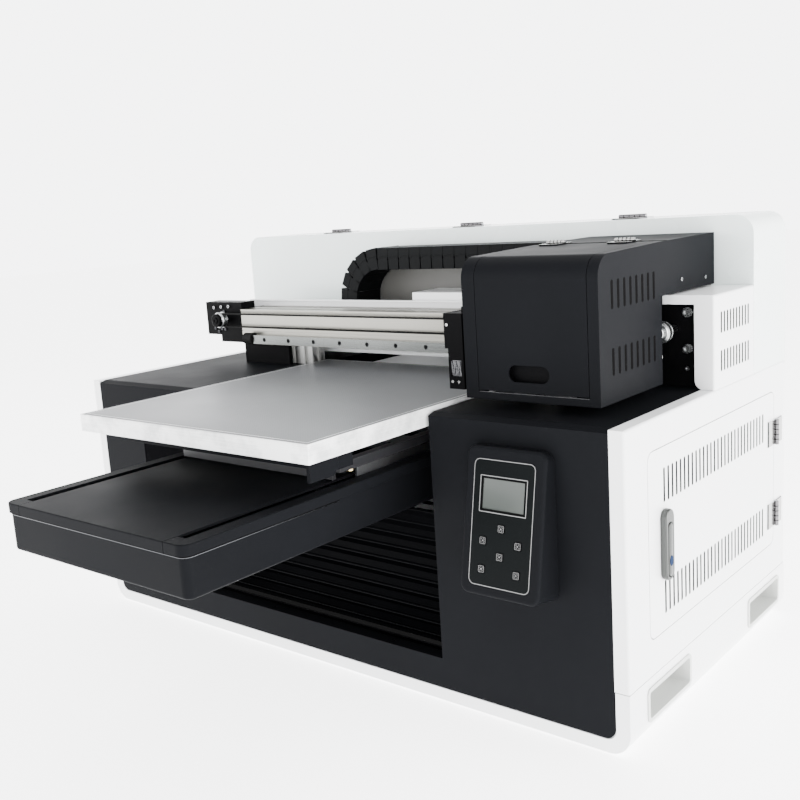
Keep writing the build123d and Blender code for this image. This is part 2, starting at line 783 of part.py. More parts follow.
def gantry_end_plates():
    """Black plates that carry the idler at the left and the motor at the right."""
    edge = idler_plate_left_x
    outline = Polyline((edge, 443), (-439, 443), (-439, 430), (beam_left_x - 1, 430),
                       (beam_left_x - 1, 503), (edge, 503), close=True)
    left = along_y(make_face(outline), 243, 248)
    left += block(edge, beam_left_x - 1, 247, end_flange_back_y, 500, 503)
    left += block(beam_left_x - 6, beam_left_x - 1, 247, 300, 430, 491)
    left += block(beam_left_x - 6, beam_left_x - 1, 247, end_flange_back_y, 490, 501)
    left += block(edge, edge + 5, 247, 275, 443, 503)
    left -= rod_y(idler_x, pulley_z, shaft_radius + shaft_clearance, 240, 250)
    right = block(beam_right_x + 1, 489, 270, 275, deck_z, 503)
    right += block(beam_right_x + 1, beam_right_x + 6, 243, 271, beam_bottom_z, beam_top_z)
    right -= rod_y(drive_x, pulley_z, shaft_radius + shaft_clearance, 260, 280)
    return group(left, right)


def pulley(x, shaft_front, shaft_back):
    """Toothed belt pulley with two flanges, a hub and its shaft."""
    wheel = rod_y(x, pulley_z, belt_radius - 0.4, belt_front_y - 1.0, belt_back_y + 1.0)
    for y0, y1 in ((belt_front_y - 1.8, belt_front_y - 0.4), (belt_back_y + 0.4, belt_back_y + 1.8)):
        wheel += rod_y(x, pulley_z, 14.5, y0, y1)
    wheel += rod_y(x, pulley_z, 9.0, belt_front_y - 8, belt_front_y)
    wheel += rod_y(x, pulley_z, shaft_radius, shaft_front, shaft_back)
    return wheel


def idler_pulley():
    return pulley(idler_x, belt_front_y - 12, 248.5)


def drive_pulley():
    return pulley(drive_x, belt_front_y - 11, 275.3)


def gantry_bolts():
    """Socket-head screws of the end plates: three large ones at the motor, small ones elsewhere."""
    large = ((457.5, 494.0), (457.5, 446.0), (404.0, 494.0))
    small = ((457.0, 420.0), (404.0, 420.0))
    left = ((-458.0, 493.0), (-444.0, 493.0), (-408.0, 493.0), (-458.0, 452.0), (-425.0, 445.0), (-395.0, 440.0))
    bolts = []
    for places, radius, y in ((large, 6.5, 270.0), (small, 4.0, 270.0), (left, 3.5, 243.0)):
        for x, z in places:
            head = rod_y(x, z, radius, y - radius, y)
            head -= along_y(Pos(x, z) * RegularPolygon(radius * 0.55, 6), y - radius - 1, y - radius * 0.4)
            bolts.append(head)
    return group(*bolts)


def drive_belt():
    """Closed toothed belt round the idler and the drive pulley."""
    length = drive_x - idler_x
    middle = (drive_x + idler_x) / 2
    inner = 2 * belt_radius
    outer = inner + 2 * belt_thick
    loop = Pos(middle, pulley_z) * SlotCenterToCenter(length, outer)
    loop -= Pos(middle, pulley_z) * SlotCenterToCenter(length, inner)
    return along_y(loop, belt_front_y, belt_back_y)


def end_cover():
    """White cover over the drive end of the gantry, open towards the carriage."""
    corner = 12.0
    x0 = 430.0
    y0 = 253.0
    y1 = cover_front_y - 0.5
    top = 518.0
    hull = block(x0, half_width, y0, y1, deck_z + 0.2, top)
    outer_edges = hull.edges().filter_by(Axis.Z).group_by(Axis.X)[-1].sort_by(Axis.Y)[:1]
    hull = fillet(outer_edges + hull.edges().filter_by(Axis.Y).group_by(Axis.Z)[-1].sort_by(Axis.X)[-1:], 3.0)
    hull -= block(x0 - 1, half_width - shell, y0 + shell, y1 + 1, deck_z, top - shell)
    window = Pos(x0 + 20.0, 450.5) * Rectangle(46.0, 111.0)
    hull -= along_y(window, y0 - 1, y0 + 5)
    leg_x = x0 + 43.0
    bite = Pos(leg_x + corner / 2, deck_z + corner / 2) * Rectangle(corner, corner)
    bite -= Pos(leg_x + corner, deck_z + corner) * Circle(corner)
    hull -= along_y(bite, y0 - 1, y0 + 5)
    for z0, z1 in ((417.0, 445.0), (467.0, 495.0)):
        hull -= slots_on_side(half_width - 5, half_width + 5, 275.5, 368.3, 10, z0, z1, 5.0)
    return hull


# ---------------------------------------------------------------- print carriage
def head_profile(inset):
    """Side view of the cover: upright front, round top edge, arm over the gantry."""
    front = head_front_y + inset
    radius = head_radius - inset
    bend_z = head_top_front_z - head_radius
    top_front = (head_front_y + head_radius, head_top_front_z - inset)
    top_hinge = (lid_hinge_y, head_top_hinge_z - inset)
    slope_back = (head_arm_y + (1.0 if inset else 0.0), head_top_back_z - inset)
    low = head_bottom_z - (1.0 if inset else 0.0)
    arm = head_arm_z + inset
    back = head_back_y + (inset if inset else 0.0)
    arc = RadiusArc((front, bend_z), top_front, radius)
    rest = Polyline(top_front, top_hinge, slope_back, (slope_back[0], arm), (back, arm), (back, low),
                    (front, low), (front, bend_z))
    return make_face(arc + rest)


def lid_region(grow):
    """Space that the lid fills in the cover."""
    front = block(lid_left_x - grow, lid_right_x + grow, 0, 60 if grow else 80,
                  lid_bottom_z - grow, 620)
    top = block(lid_left_x - grow, lid_right_x + grow, 0, lid_hinge_y + grow, 550, 620)
    return front + top


chain_bay_y = 306.0


def head_cover():
    """Sheet-metal cover of the print carriage; the arm's open bay takes the end of the chain."""
    hull = along_x(head_profile(0), head_left_x, head_right_x)
    inner_left = head_left_x + shell
    inner_right = head_right_x - shell
    cavity = along_x(head_profile(shell), inner_left, inner_right)
    divider = block(0, 600, chain_bay_y, chain_bay_y + shell, 400, 620)
    hull -= cavity - divider
    bay_front = chain_bay_y + shell
    bay_top = chain_bend_z + chain_bend_radius + 0.3
    hull -= block(inner_left - 5, inner_left + 1, bay_front, head_arm_y + 1, head_arm_z + shell, bay_top)
    hull -= block(inner_left, inner_right, head_back_y - 1, head_back_y + 3, 400, head_arm_z + 1)
    hull -= lid_region(lid_gap) & block(0, 600, 0, 250, 400, 620)
    for z0, z1 in ((441.0, 474.0), (519.5, 554.0)):
        hull -= slots_on_side(head_right_x - 5, head_right_x + 5, 80.0, 190.0, 8, z0, z1, 6.0)
    return hull


def head_lid():
    """Front and top of the cover in one curved sheet, with a finger slot."""
    skin = along_x(head_profile(0), lid_left_x, lid_right_x)
    skin -= along_x(head_profile(shell), lid_left_x - 1, lid_right_x + 1)
    skin &= lid_region(0)
    skin &= block(0, 600, 0, lid_hinge_y, lid_bottom_z - lid_gap + lid_sill_gap, 620)
    slot = Pos(351, 442.5) * SlotOverall(58, 21)
    skin -= along_y(slot, 0, 80)
    for x in head_hinge_x:
        skin += block(x - 14, x + 14, 200, 217, head_top_hinge_z - 1.2, head_top_hinge_z + 1.2)
    return skin


head_hinge_z = head_top_hinge_z + 3.1
head_hinge_x = (292.0, 394.0)


def lid_hinges():
    """Barrels and fixed leaves of the two hinges of the cover's lid."""
    pieces = []
    leaf_z = head_top_hinge_z + 0.35
    for x in head_hinge_x:
        barrel = rod_x(lid_hinge_y + 1.5, head_hinge_z, 2.6, x - 14, x + 14)
        leaf = block(x - 14, x + 14, lid_hinge_y + 2, lid_hinge_y + 20, leaf_z, leaf_z + 1.6)
        pieces.append(barrel + leaf)
    return group(*pieces)


plate_back_y = 211.0
bearing_places = ((262.0, 316.0), (324.0, 378.0))


def carriage_plate():
    """Aluminium plate that joins bearing blocks, belt clamp, print heads and cover."""
    plate = block(head_left_x + 3, head_right_x - 3, plate_back_y - 8, plate_back_y, 412, 516)
    clamp = block(335, 365, plate_back_y - 1, 236, 457.7, 466)
    clamp -= block(334, 366, 225.5, 234.6, 458.8, 462.4)
    return plate + clamp


def carriage_bearing_blocks():
    """Two recirculating bearing blocks that ride on the beam's rail."""
    half = rail_size / 2
    front = beam_front_y - rail_size
    blocks = []
    for x0, x1 in bearing_places:
        bearing = block(x0, x1, plate_back_y, beam_front_y - 3.5, rail_z - 17, rail_z + 17)
        bearing -= block(x0 - 1, x1 + 1, front - 0.4, beam_front_y, rail_z - half - 0.3, rail_z + half + 0.3)
        blocks.append(bearing)
    return group(*blocks)


def print_heads():
    """Two print heads under a base plate, each with an ink damper on top."""
    pieces = [block(285, 425, 60, 203, 470, 474)]
    for x in (330.0, 376.0):
        head = block(x - 16, x + 16, 70, 175, 412, 470)
        nozzle = block(x - 10, x + 10, 80, 165, 406.6, 412)
        pieces.append(head + nozzle)
        for y in (85.0, 120.0, 155.0):
            pieces.append(block(x - 12, x + 12, y - 12, y + 12, 474, 512))
    return group(*pieces)


lamp_left_x = 216.0
lamp_right_x = 245.0


def uv_lamp():
    """Curing lamp beside the cover, with a finned heat sink and two brackets."""
    body = block(lamp_left_x, lamp_right_x, 60, 150, 468, 514)
    body += block(lamp_left_x + 5, lamp_right_x, 60, 150, 415, 469)
    for index in range(14):
        y = 72.0 + index * 5.5
        body -= block(lamp_left_x - 1, lamp_left_x + 10, y, y + 2.5, 480, 515)
    body -= block(lamp_left_x + 8, lamp_right_x - 4, 58, 64, 431, 453)
    body += block(lamp_right_x - 1, head_left_x, 70, 84, 470, 500)
    body += block(lamp_right_x - 1, head_left_x, 126, 140, 470, 500)
    body += block(lamp_right_x - 4, head_left_x, 66, 110, 508, 522)
    return body


# ---------------------------------------------------------------- energy chain
def chain_tray():
    """White trough behind the beam for the chain's lower run."""
    left = -419.0
    right = 395.0
    back = cover_front_y - 1.0
    low = chain_bend_z - chain_bend_radius - 3.2
    tray = block(left, right, 306.5, back, low, low + sheet)
    tray += block(left, right, 306.5, 309.0, low, 502.0)
    tray += block(left, right, 302.0, 309.0, 499.5, 502.0)
    return tray


def chain_run(start, end, low):
    """A straight run of links."""
    count = round((end - start) / chain_link_pitch)
    step = (end - start) / count
    links = []
    for index in range(count):
        x0 = start + index * step + 0.4
        x1 = x0 + step - 0.8
        links.append(block(x0, x1, chain_front_y, chain_back_y, low, low + chain_link_height))
    return group(*links)


def chain_upper():
    return chain_run(chain_bend_x + 1, chain_end_x, chain_bend_z + chain_bend_radius - chain_link_height)


def chain_lower():
    left = chain_bend_x - chain_travel
    return chain_run(left, left + 24 * chain_link_pitch, chain_bend_z - chain_bend_radius)


def chain_bend():
    """The bend between the two runs, cut off just above the lower run."""
    centre = Pos(chain_bend_x, chain_bend_z)
    ring = centre * Circle(chain_bend_radius) - centre * Circle(chain_bend_radius - chain_link_height)
    low = chain_bend_z - chain_bend_radius + chain_link_height + 2.0
    high = chain_bend_z + chain_bend_radius
    left = chain_bend_x - chain_bend_radius
    keep = Pos((left + chain_bend_x) / 2, (low + high) / 2) * Rectangle(chain_bend_radius, high - low)
    return along_y(ring & keep, chain_front_y, chain_back_y)


# ---------------------------------------------------------------- inside the housing
def power_supply():
    """Boxed supply on the wall of the right-hand pillar, behind the side door."""
    x0 = opening_right_x + 2 * sheet
    case = block(x0, x0 + 50, 140, 355, 150, 265)
    for index in range(12):
        z = 160.0 + index * 8.0
        case -= block(x0 + 47, x0 + 51, 160, 335, z, z + 3)
    return case


def ink_bottles():
    """Ink bottles with screw caps on the shelf under the rear lid."""
    bottles = []
    for index in range(6):
        x = -400.0 + index * 75.0
        y = 468.0
        bottle = rod_z(x, y, 27.0, 438.5, 538.0)
        bottle = fillet(bottle.edges().group_by(Axis.Z)[-1], 9.0)
        bottle += rod_z(x, y, 13.0, 537.0, 552.0)
        bottles.append(bottle)
    return group(*bottles)


# ---------------------------------------------------------------- export
nodes = {
    "bottom_skirt": bottom_skirt,
    "carry_grips": carry_grips,
    "rubber_feet": rubber_feet,
    "side_panel_left": side_panel_left,
    "side_panel_right": side_panel_right,
    "front_panel": front_panel,
    "deck_panels": deck_panels,
    "floor_bellows": floor_bellows,
    "inner_frame": inner_frame,
    "rear_cover": rear_cover,
    "rear_lid": rear_lid,
    "rear_panel": rear_panel,
    "power_inlet": power_inlet,
    "power_switch": power_switch,
    "cabinet_hinges": cabinet_hinges,
    "side_door": side_door,
    "door_handle": door_handle,
    "door_lever": door_lever,
    "control_housing": control_housing,
    "lcd_screen": lcd_screen,
    "bed_tub": bed_tub,
    "bed_rims": bed_rims,
    "bed_centre_plate": bed_centre_plate,
    "linear_rails": linear_rails,
    "y_screw": y_screw,
    "stepper_motors": stepper_motors,
    "bed_carriage": bed_carriage,
    "lift_bars": lift_bars,
    "lift_screw": lift_screw,
    "platen_frame": platen_frame,
    "platen": platen,
    "gantry_beam": gantry_beam,
    "rail_bumpers": rail_bumpers,
    "gantry_uprights": gantry_uprights,
    "gantry_legs": gantry_legs,
    "gantry_end_plates": gantry_end_plates,
    "idler_pulley": idler_pulley,
    "drive_pulley": drive_pulley,
    "gantry_bolts": gantry_bolts,
    "drive_belt": drive_belt,
    "end_cover": end_cover,
    "head_cover": head_cover,
    "head_lid": head_lid,
    "lid_hinges": lid_hinges,
    "carriage_plate": carriage_plate,
    "carriage_bearing_blocks": carriage_bearing_blocks,
    "print_heads": print_heads,
    "uv_lamp": uv_lamp,
    "chain_tray": chain_tray,
    "chain_upper": chain_upper,
    "chain_lower": chain_lower,
    "chain_bend": chain_bend,
    "power_supply": power_supply,
    "ink_bottles": ink_bottles,
}


def export_node(name, shape):
    moved = Pos(0, -body_depth / 2, 0) * shape
    moved.label = name
    export_step(moved, f"parts/{name}.step")


os.makedirs("parts", exist_ok=True)
for node_name, build in nodes.items():
    export_node(node_name, build())
for key_name, (key_x, key_y) in key_places.items():
    export_node(key_name, control_key(key_x, key_y))
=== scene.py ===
import bpy
import bmesh
import math
from mathutils import Matrix, Vector


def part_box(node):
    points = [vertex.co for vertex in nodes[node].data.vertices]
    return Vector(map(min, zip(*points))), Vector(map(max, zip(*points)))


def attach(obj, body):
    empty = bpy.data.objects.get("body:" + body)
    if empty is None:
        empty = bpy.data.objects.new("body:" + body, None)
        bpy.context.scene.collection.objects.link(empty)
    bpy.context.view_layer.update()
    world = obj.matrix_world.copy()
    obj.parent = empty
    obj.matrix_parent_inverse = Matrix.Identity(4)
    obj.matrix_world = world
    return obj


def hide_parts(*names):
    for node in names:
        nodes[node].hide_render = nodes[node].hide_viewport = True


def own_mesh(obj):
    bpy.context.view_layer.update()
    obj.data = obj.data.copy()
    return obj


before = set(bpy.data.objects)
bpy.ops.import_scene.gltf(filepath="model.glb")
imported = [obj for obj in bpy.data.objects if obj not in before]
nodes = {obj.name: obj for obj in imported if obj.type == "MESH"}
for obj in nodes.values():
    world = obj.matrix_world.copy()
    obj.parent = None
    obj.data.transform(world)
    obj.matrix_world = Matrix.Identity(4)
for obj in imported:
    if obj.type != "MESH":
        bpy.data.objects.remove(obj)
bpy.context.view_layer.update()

# Shapes are drawn in the cabinet's millimetres: X to the right from the middle, Y back from the
# face of the front panel, Z up from the floor. Blender's scene is in metres.
front_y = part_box("front_panel")[0][1]
mm = 0.001


def at(x, y, z):
    """A point given in the cabinet's millimetres."""
    return Vector((x * mm, front_y + y * mm, z * mm))


def edges_of(node):
    """(x0, x1, y0, y1, z0, z1) of a CAD node in the cabinet's millimetres."""
    low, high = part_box(node)
    return (low[0] / mm, high[0] / mm, (low[1] - front_y) / mm, (high[1] - front_y) / mm,
            low[2] / mm, high[2] / mm)


def add_object(name, data):
    piece = bpy.data.objects.new(name, data)
    bpy.context.scene.collection.objects.link(piece)
    return piece


def set_inputs(node, values):
    """Constants, set on the node's own sockets."""
    for name, value in values.items():
        node.inputs[name].default_value = value


# ---------------------------------------------------------------- camera, light, floor
def add_camera():
    """The photograph's viewpoint, fitted to the printer's straight edges."""
    azimuth = math.radians(39.913)
    elevation = math.radians(10.663)
    roll = math.radians(-3.7096)
    back = Vector((math.sin(azimuth) * math.cos(elevation),
                   -math.cos(azimuth) * math.cos(elevation), math.sin(elevation)))
    level_right = Vector((math.cos(azimuth), math.sin(azimuth), 0))
    level_up = back.cross(level_right)
    right = math.cos(roll) * level_right + math.sin(roll) * level_up
    up = math.cos(roll) * level_up - math.sin(roll) * level_right
    data = bpy.data.cameras.new("camera")
    data.sensor_width = 36
    data.lens = 45.437
    data.clip_start = 0.05
    data.clip_end = 50
    camera = add_object("camera", data)
    turn = Matrix((right, up, back)).transposed().to_4x4()
    camera.matrix_world = Matrix.Translation(at(1005.94, -982.03, 649.28)) @ turn
    bpy.context.scene.camera = camera


def add_area(name, place, target, size, power):
    data = bpy.data.lights.new(name, "AREA")
    data.shape = "RECTANGLE"
    data.size = size[0]
    data.size_y = size[1]
    data.energy = power
    lamp = add_object(name, data)
    lamp.location = place
    aim = Vector(target) - Vector(place)
    lamp.rotation_euler = aim.to_track_quat("-Z", "Y").to_euler()


def add_world(horizon, zenith):
    """White surroundings, brightest round the horizon."""
    world = bpy.data.worlds.new("studio")
    bpy.context.scene.world = world
    world.use_nodes = True
    tree = world.node_tree
    direction = tree.nodes.new("ShaderNodeTexCoord").outputs["Generated"]
    split = tree.nodes.new("ShaderNodeSeparateXYZ")
    tree.links.new(direction, split.inputs[0])
    fade = tree.nodes.new("ShaderNodeMapRange")
    fade.interpolation_type = "SMOOTHSTEP"
    set_inputs(fade, {"From Min": 0.20, "From Max": 0.50, "To Min": horizon, "To Max": zenith})
    tree.links.new(split.outputs["Z"], fade.inputs["Value"])
    tree.links.new(fade.outputs["Result"], tree.nodes["Background"].inputs["Strength"])
    tree.nodes["Background"].inputs["Color"].default_value = (0.985, 0.99, 1.0, 1)


def add_studio():
    add_world(horizon=6.2, zenith=1.3)
    middle = (0, 0, 0.3)
    add_area("side", (3.2, 0.3, 1.3), middle, (2.4, 2.4), 210)
    add_area("top", (-0.3, 0.5, 3.0), middle, (2.6, 2.2), 60)
    add_area("left", (-3.0, -0.6, 1.6), middle, (2.0, 2.0), 20)
    mesh = bpy.data.meshes.new("floor")
    half = 14
    mesh.from_pydata([(-half, -half, 0), (half, -half, 0), (half, half, 0), (-half, half, 0)],
                     [], [(0, 1, 2, 3)])
    floor = add_object("floor", mesh)
    paint = painted("floor_paint", (0.90, 0.90, 0.90), 0.7, 0.01, 20, 0)
    set_inputs(paint.node_tree.nodes["Principled BSDF"],
               {"Emission Color": (1, 1, 1, 1), "Emission Strength": 4.0})
    mesh.materials.append(paint)


# ---------------------------------------------------------------- materials
def shader(name):
    material = bpy.data.materials.new(name)
    material.use_nodes = True
    tree = material.node_tree
    return material, tree, tree.nodes["Principled BSDF"]


def noise(tree, coordinates, scale, detail=3.0, roughness=0.5):
    node = tree.nodes.new("ShaderNodeTexNoise")
    set_inputs(node, {"Scale": scale, "Detail": detail, "Roughness": roughness})
    tree.links.new(coordinates, node.inputs["Vector"])
    return node.outputs["Fac"]


def object_coordinates(tree):
    return tree.nodes.new("ShaderNodeTexCoord").outputs["Object"]


def ramp(tree, value, low, high, position=(0.35, 0.65)):
    node = tree.nodes.new("ShaderNodeValToRGB")
    node.color_ramp.elements[0].position = position[0]
    node.color_ramp.elements[1].position = position[1]
    node.color_ramp.elements[0].color = (*low, 1)
    node.color_ramp.elements[1].color = (*high, 1)
    tree.links.new(value, node.inputs["Fac"])
    return node.outputs["Color"]


def spread(tree, value, low, high):
    """Noise, which stays near its middle, stretched to a range."""
    node = tree.nodes.new("ShaderNodeMapRange")
    set_inputs(node, {"From Min": 0.3, "From Max": 0.7, "To Min": low, "To Max": high})
    tree.links.new(value, node.inputs["Value"])
    return node.outputs["Result"]


def maths(tree, operation, first, second=None):
    """A Math node; each input is a socket or a number."""
    node = tree.nodes.new("ShaderNodeMath")
    node.operation = operation
    for index, value in enumerate((first, second)):
        if value is None:
            continue
        if isinstance(value, (int, float)):
            node.inputs[index].default_value = value
        else:
            tree.links.new(value, node.inputs[index])
    return node.outputs[0]


def weighted(tree, first, second, share):
    """Sum of two sockets; share is the weight of the first."""
    return maths(tree, "ADD", maths(tree, "MULTIPLY", first, share),
                 maths(tree, "MULTIPLY", second, 1 - share))


def blended(tree, factor, first, second):
    """Mix of two colours by a factor socket."""
    node = tree.nodes.new("ShaderNodeMix")
    node.data_type = "RGBA"
    tree.links.new(factor, node.inputs["Factor"])
    for socket, value in ((node.inputs[6], first), (node.inputs[7], second)):
        if isinstance(value, tuple):
            socket.default_value = (*value, 1)
        else:
            tree.links.new(value, socket)
    return node.outputs[2]


def bump(tree, height, depth, edge=0.0):
    node = tree.nodes.new("ShaderNodeBump")
    set_inputs(node, {"Strength": 1.0, "Distance": depth})
    tree.links.new(height, node.inputs["Height"])
    if edge:
        round_edge = tree.nodes.new("ShaderNodeBevel")
        round_edge.samples = 4
        round_edge.inputs["Radius"].default_value = edge
        tree.links.new(round_edge.outputs["Normal"], node.inputs["Normal"])
    return node.outputs["Normal"]


def shade(colour, factor):
    return tuple(min(1.0, c * factor) for c in colour)


def painted(name, colour, rough, vary, grain, depth, metallic=0.0, edge=0.0, coat=0.0, specular=0.5):
    """Paint, powder coat or moulded plastic: slow colour drift, uneven gloss and a fine skin."""
    material, tree, principled = shader(name)
    place = object_coordinates(tree)
    slow = noise(tree, place, 6.0, 4.0)
    fine = noise(tree, place, grain, 2.0, 0.6)
    colour_out = ramp(tree, slow, shade(colour, 1 - vary), shade(colour, 1 + vary))
    tree.links.new(colour_out, principled.inputs["Base Color"])
    tree.links.new(spread(tree, slow, rough * 0.88, min(1, rough * 1.12)), principled.inputs["Roughness"])
    set_inputs(principled, {"Metallic": metallic, "Specular IOR Level": specular,
                            "Coat Weight": coat, "Coat Roughness": 0.12})
    if depth:
        tree.links.new(bump(tree, fine, depth, edge), principled.inputs["Normal"])
    return material


def stretched(tree, coordinates, factors):
    node = tree.nodes.new("ShaderNodeMapping")
    node.inputs["Scale"].default_value = factors
    tree.links.new(coordinates, node.inputs["Vector"])
    return node.outputs["Vector"]


def brushed(name, colour, rough, direction, depth=2e-5, metallic=1.0, edge=0.0, vary=0.10):
    """Metal with fine lines along one direction; direction holds the stretch of each axis."""
    material, tree, principled = shader(name)
    lines = noise(tree, stretched(tree, object_coordinates(tree), direction), 1.0, 4.0, 0.7)
    slow = noise(tree, object_coordinates(tree), 9.0, 3.0)
    mixed = maths(tree, "ADD", lines, maths(tree, "MULTIPLY", slow, 0.35))
    tree.links.new(ramp(tree, mixed, shade(colour, 1 - vary), shade(colour, 1 + vary), (0.5, 0.85)),
                   principled.inputs["Base Color"])
    tree.links.new(spread(tree, lines, rough * 0.75, rough * 1.25), principled.inputs["Roughness"])
    principled.inputs["Metallic"].default_value = metallic
    tree.links.new(bump(tree, lines, depth, edge), principled.inputs["Normal"])
    return material


def milled_aluminium():
    """Raw cut edge of a plate: bright, cloudy, with saw lines along it."""
    material, tree, principled = shader("milled_aluminium")
    place = object_coordinates(tree)
    clouds = noise(tree, place, 22.0, 5.0, 0.65)
    lines = noise(tree, stretched(tree, place, (14, 14, 1500)), 1.0, 3.0, 0.6)
    mixed = weighted(tree, clouds, lines, 0.75)
    tree.links.new(ramp(tree, mixed, (0.62, 0.63, 0.63), (0.97, 0.975, 0.97), (0.38, 0.54)),
                   principled.inputs["Base Color"])
    tree.links.new(spread(tree, mixed, 0.30, 0.55), principled.inputs["Roughness"])
    principled.inputs["Metallic"].default_value = 0.25
    tree.links.new(bump(tree, mixed, 8e-5, 0.0005), principled.inputs["Normal"])
    return material


def perforated_sheet(pitch, hole, margin_box):
    """Grey anodised sheet with a square grid of fine suction holes inside its margin."""
    material, tree, principled = shader("perforated_sheet")
    place = object_coordinates(tree)
    split = tree.nodes.new("ShaderNodeSeparateXYZ")
    tree.links.new(place, split.inputs[0])
    wrapped = []
    inside = None
    for axis, (low, high) in zip(("X", "Y"), margin_box):
        value = split.outputs[axis]
        cell = maths(tree, "SUBTRACT", maths(tree, "FRACT", maths(tree, "DIVIDE", value, pitch)), 0.5)
        wrapped.append(maths(tree, "POWER", maths(tree, "ABSOLUTE", cell), 2.0))
        band = maths(tree, "MULTIPLY", maths(tree, "GREATER_THAN", value, low),
                     maths(tree, "LESS_THAN", value, high))
        inside = band if inside is None else maths(tree, "MULTIPLY", inside, band)
    distance = maths(tree, "SQRT", maths(tree, "ADD", wrapped[0], wrapped[1]))
    in_hole = maths(tree, "LESS_THAN", distance, hole / pitch / 2)
    holes = maths(tree, "MULTIPLY", in_hole, inside)
    clouds = noise(tree, place, 7.0, 4.0, 0.6)
    lines = noise(tree, stretched(tree, place, (1400, 8, 900)), 1.0, 3.0, 0.6)
    mixed = weighted(tree, clouds, lines, 0.7)
    sheet = ramp(tree, mixed, (0.098, 0.102, 0.108), (0.132, 0.136, 0.142))
    tree.links.new(blended(tree, holes, sheet, (0.03, 0.03, 0.032)), principled.inputs["Base Color"])
    tree.links.new(spread(tree, mixed, 0.34, 0.46), principled.inputs["Roughness"])
    set_inputs(principled, {"Metallic": 0.35, "Specular IOR Level": 0.2})
    height = maths(tree, "SUBTRACT", maths(tree, "MULTIPLY", mixed, 0.05), holes)
    tree.links.new(bump(tree, height, 0.0003), principled.inputs["Normal"])
    return material


charcoal_colour = (0.0046, 0.0049, 0.0058)
charcoal = painted("charcoal_coat", charcoal_colour, 0.5, 0.1, 2600, 2e-5, edge=0.0009, specular=0.018)
white = painted("white_paint", (0.82, 0.825, 0.83), 0.32, 0.01, 900, 1.2e-5, edge=0.0009, coat=0.25)
pale = painted("pale_paint", (0.76, 0.825, 0.81), 0.26, 0.015, 900, 1.2e-5, edge=0.0008, coat=0.4)
black = painted("black_coat", (0.002, 0.002, 0.0023), 0.46, 0.15, 2600, 2e-5, edge=0.0005, specular=0.025)
chain_plastic = painted("chain_plastic", (0.0034, 0.0037, 0.004), 0.42, 0.15, 1800, 2e-5, specular=0.04)
# Near-black for foam, gaps and recesses, and also for the painted shadows beside the hinge leaves.
void = painted("foam_gaps_and_shade", (0.0022, 0.0022, 0.0022), 0.95, 0.2, 700, 0.0004, specular=0.02)
rubber = painted("rubber", (0.006, 0.006, 0.006), 0.7, 0.15, 1500, 4e-5, specular=0.08)
bellows_cloth = painted("bellows_cloth", (0.0012, 0.0013, 0.0017), 0.5, 0.2, 3000, 6e-5, specular=0.018)
pleat_edge = painted("pleat_edge", (0.005, 0.0053, 0.006), 0.35, 0.2, 3000, 3e-5, specular=0.06)
grip_plastic = painted("grip_plastic", (0.5, 0.51, 0.49), 0.42, 0.03, 2200, 3e-5, edge=0.0008)
dark_wall = painted("dark_wall", (0.006, 0.006, 0.007), 0.5, 0.1, 2000, 2e-5, specular=0.06)
# Lighter grey for the strip on the sill under the head lid: a painted highlight.
sill_highlight_paint = painted("sill_highlight_paint", (0.06, 0.06, 0.065), 0.3, 0.05, 2600, 1e-5)
# Darker beige-grey for the rear cover inside the chain's loop: painted shade, not a separate panel.
loop_shade_paint = painted("loop_shade_paint", (0.082, 0.08, 0.073), 0.5, 0.1, 900, 1e-5)
reflector = brushed("reflector", (0.11, 0.11, 0.115), 0.25, (500, 20, 500), 2e-5, vary=0.3)
# Lighter metal for the strip along the tray's top edge: a painted highlight.
edge_highlight_metal = brushed("edge_highlight_metal", (0.06, 0.062, 0.066), 0.3, (300, 300, 300), 1e-5, vary=0.05)
black_steel = brushed("black_steel", (0.06, 0.06, 0.065), 0.3, (300, 300, 300), 1e-5, vary=0.05)
beam_metal = brushed("beam_metal", (0.27, 0.262, 0.235), 0.34, (3, 900, 900), edge=0.0004)
clear_metal = brushed("clear_metal", (0.42, 0.42, 0.41), 0.32, (900, 900, 3), edge=0.0004)
bar_metal = brushed("bar_metal", (0.018, 0.018, 0.02), 0.4, (900, 3, 900), edge=0.0005, metallic=0.2)
rail_steel = brushed("rail_steel", (0.14, 0.146, 0.142), 0.26, (3, 1200, 1200), edge=0.0003)
plate_metal = brushed("plate_metal", (0.42, 0.43, 0.44), 0.38, (600, 600, 600), edge=0.0004)
# A darker copy of the chrome for the cabinet hinges: painted shade and dark reflection on the hinge barrels.
shaded_chrome = brushed("shaded_chrome", (0.13, 0.125, 0.13), 0.16, (200, 200, 200), 1e-5, edge=0.0003, vary=0.1)
chrome = brushed("chrome", (0.36, 0.36, 0.35), 0.14, (200, 200, 200), 5e-6, edge=0.0003, vary=0.03)
satin_silver = brushed("satin_silver", (0.058, 0.06, 0.058), 0.3, (500, 500, 4), 1e-5, edge=0.0008, vary=0.05)
turned = brushed("turned_metal", (0.34, 0.35, 0.35), 0.27, (700, 10, 700), 2e-5, edge=0.0002)
steel_screw = brushed("steel_screw", (0.28, 0.285, 0.29), 0.22, (300, 300, 300), 1e-5, vary=0.05)
brass = brushed("brass", (0.62, 0.5, 0.27), 0.3, (300, 300, 300), 1e-5, vary=0.08)
red_plastic = painted("red_plastic", (0.4, 0.02, 0.02), 0.25, 0.05, 1500, 1e-5)
blue_plastic = painted("blue_plastic", (0.0015, 0.012, 0.045), 0.5, 0.05, 1500, 1e-5, specular=0.03)
bottle_plastic = painted("bottle_plastic", (0.55, 0.55, 0.53), 0.35, 0.03, 1500, 2e-5)
cap_plastic = painted("cap_plastic", (0.05, 0.05, 0.055), 0.4, 0.05, 1500, 3e-5)
membrane = painted("membrane", (0.0024, 0.0031, 0.0033), 0.34, 0.06, 2600, 1e-5, specular=0.03)
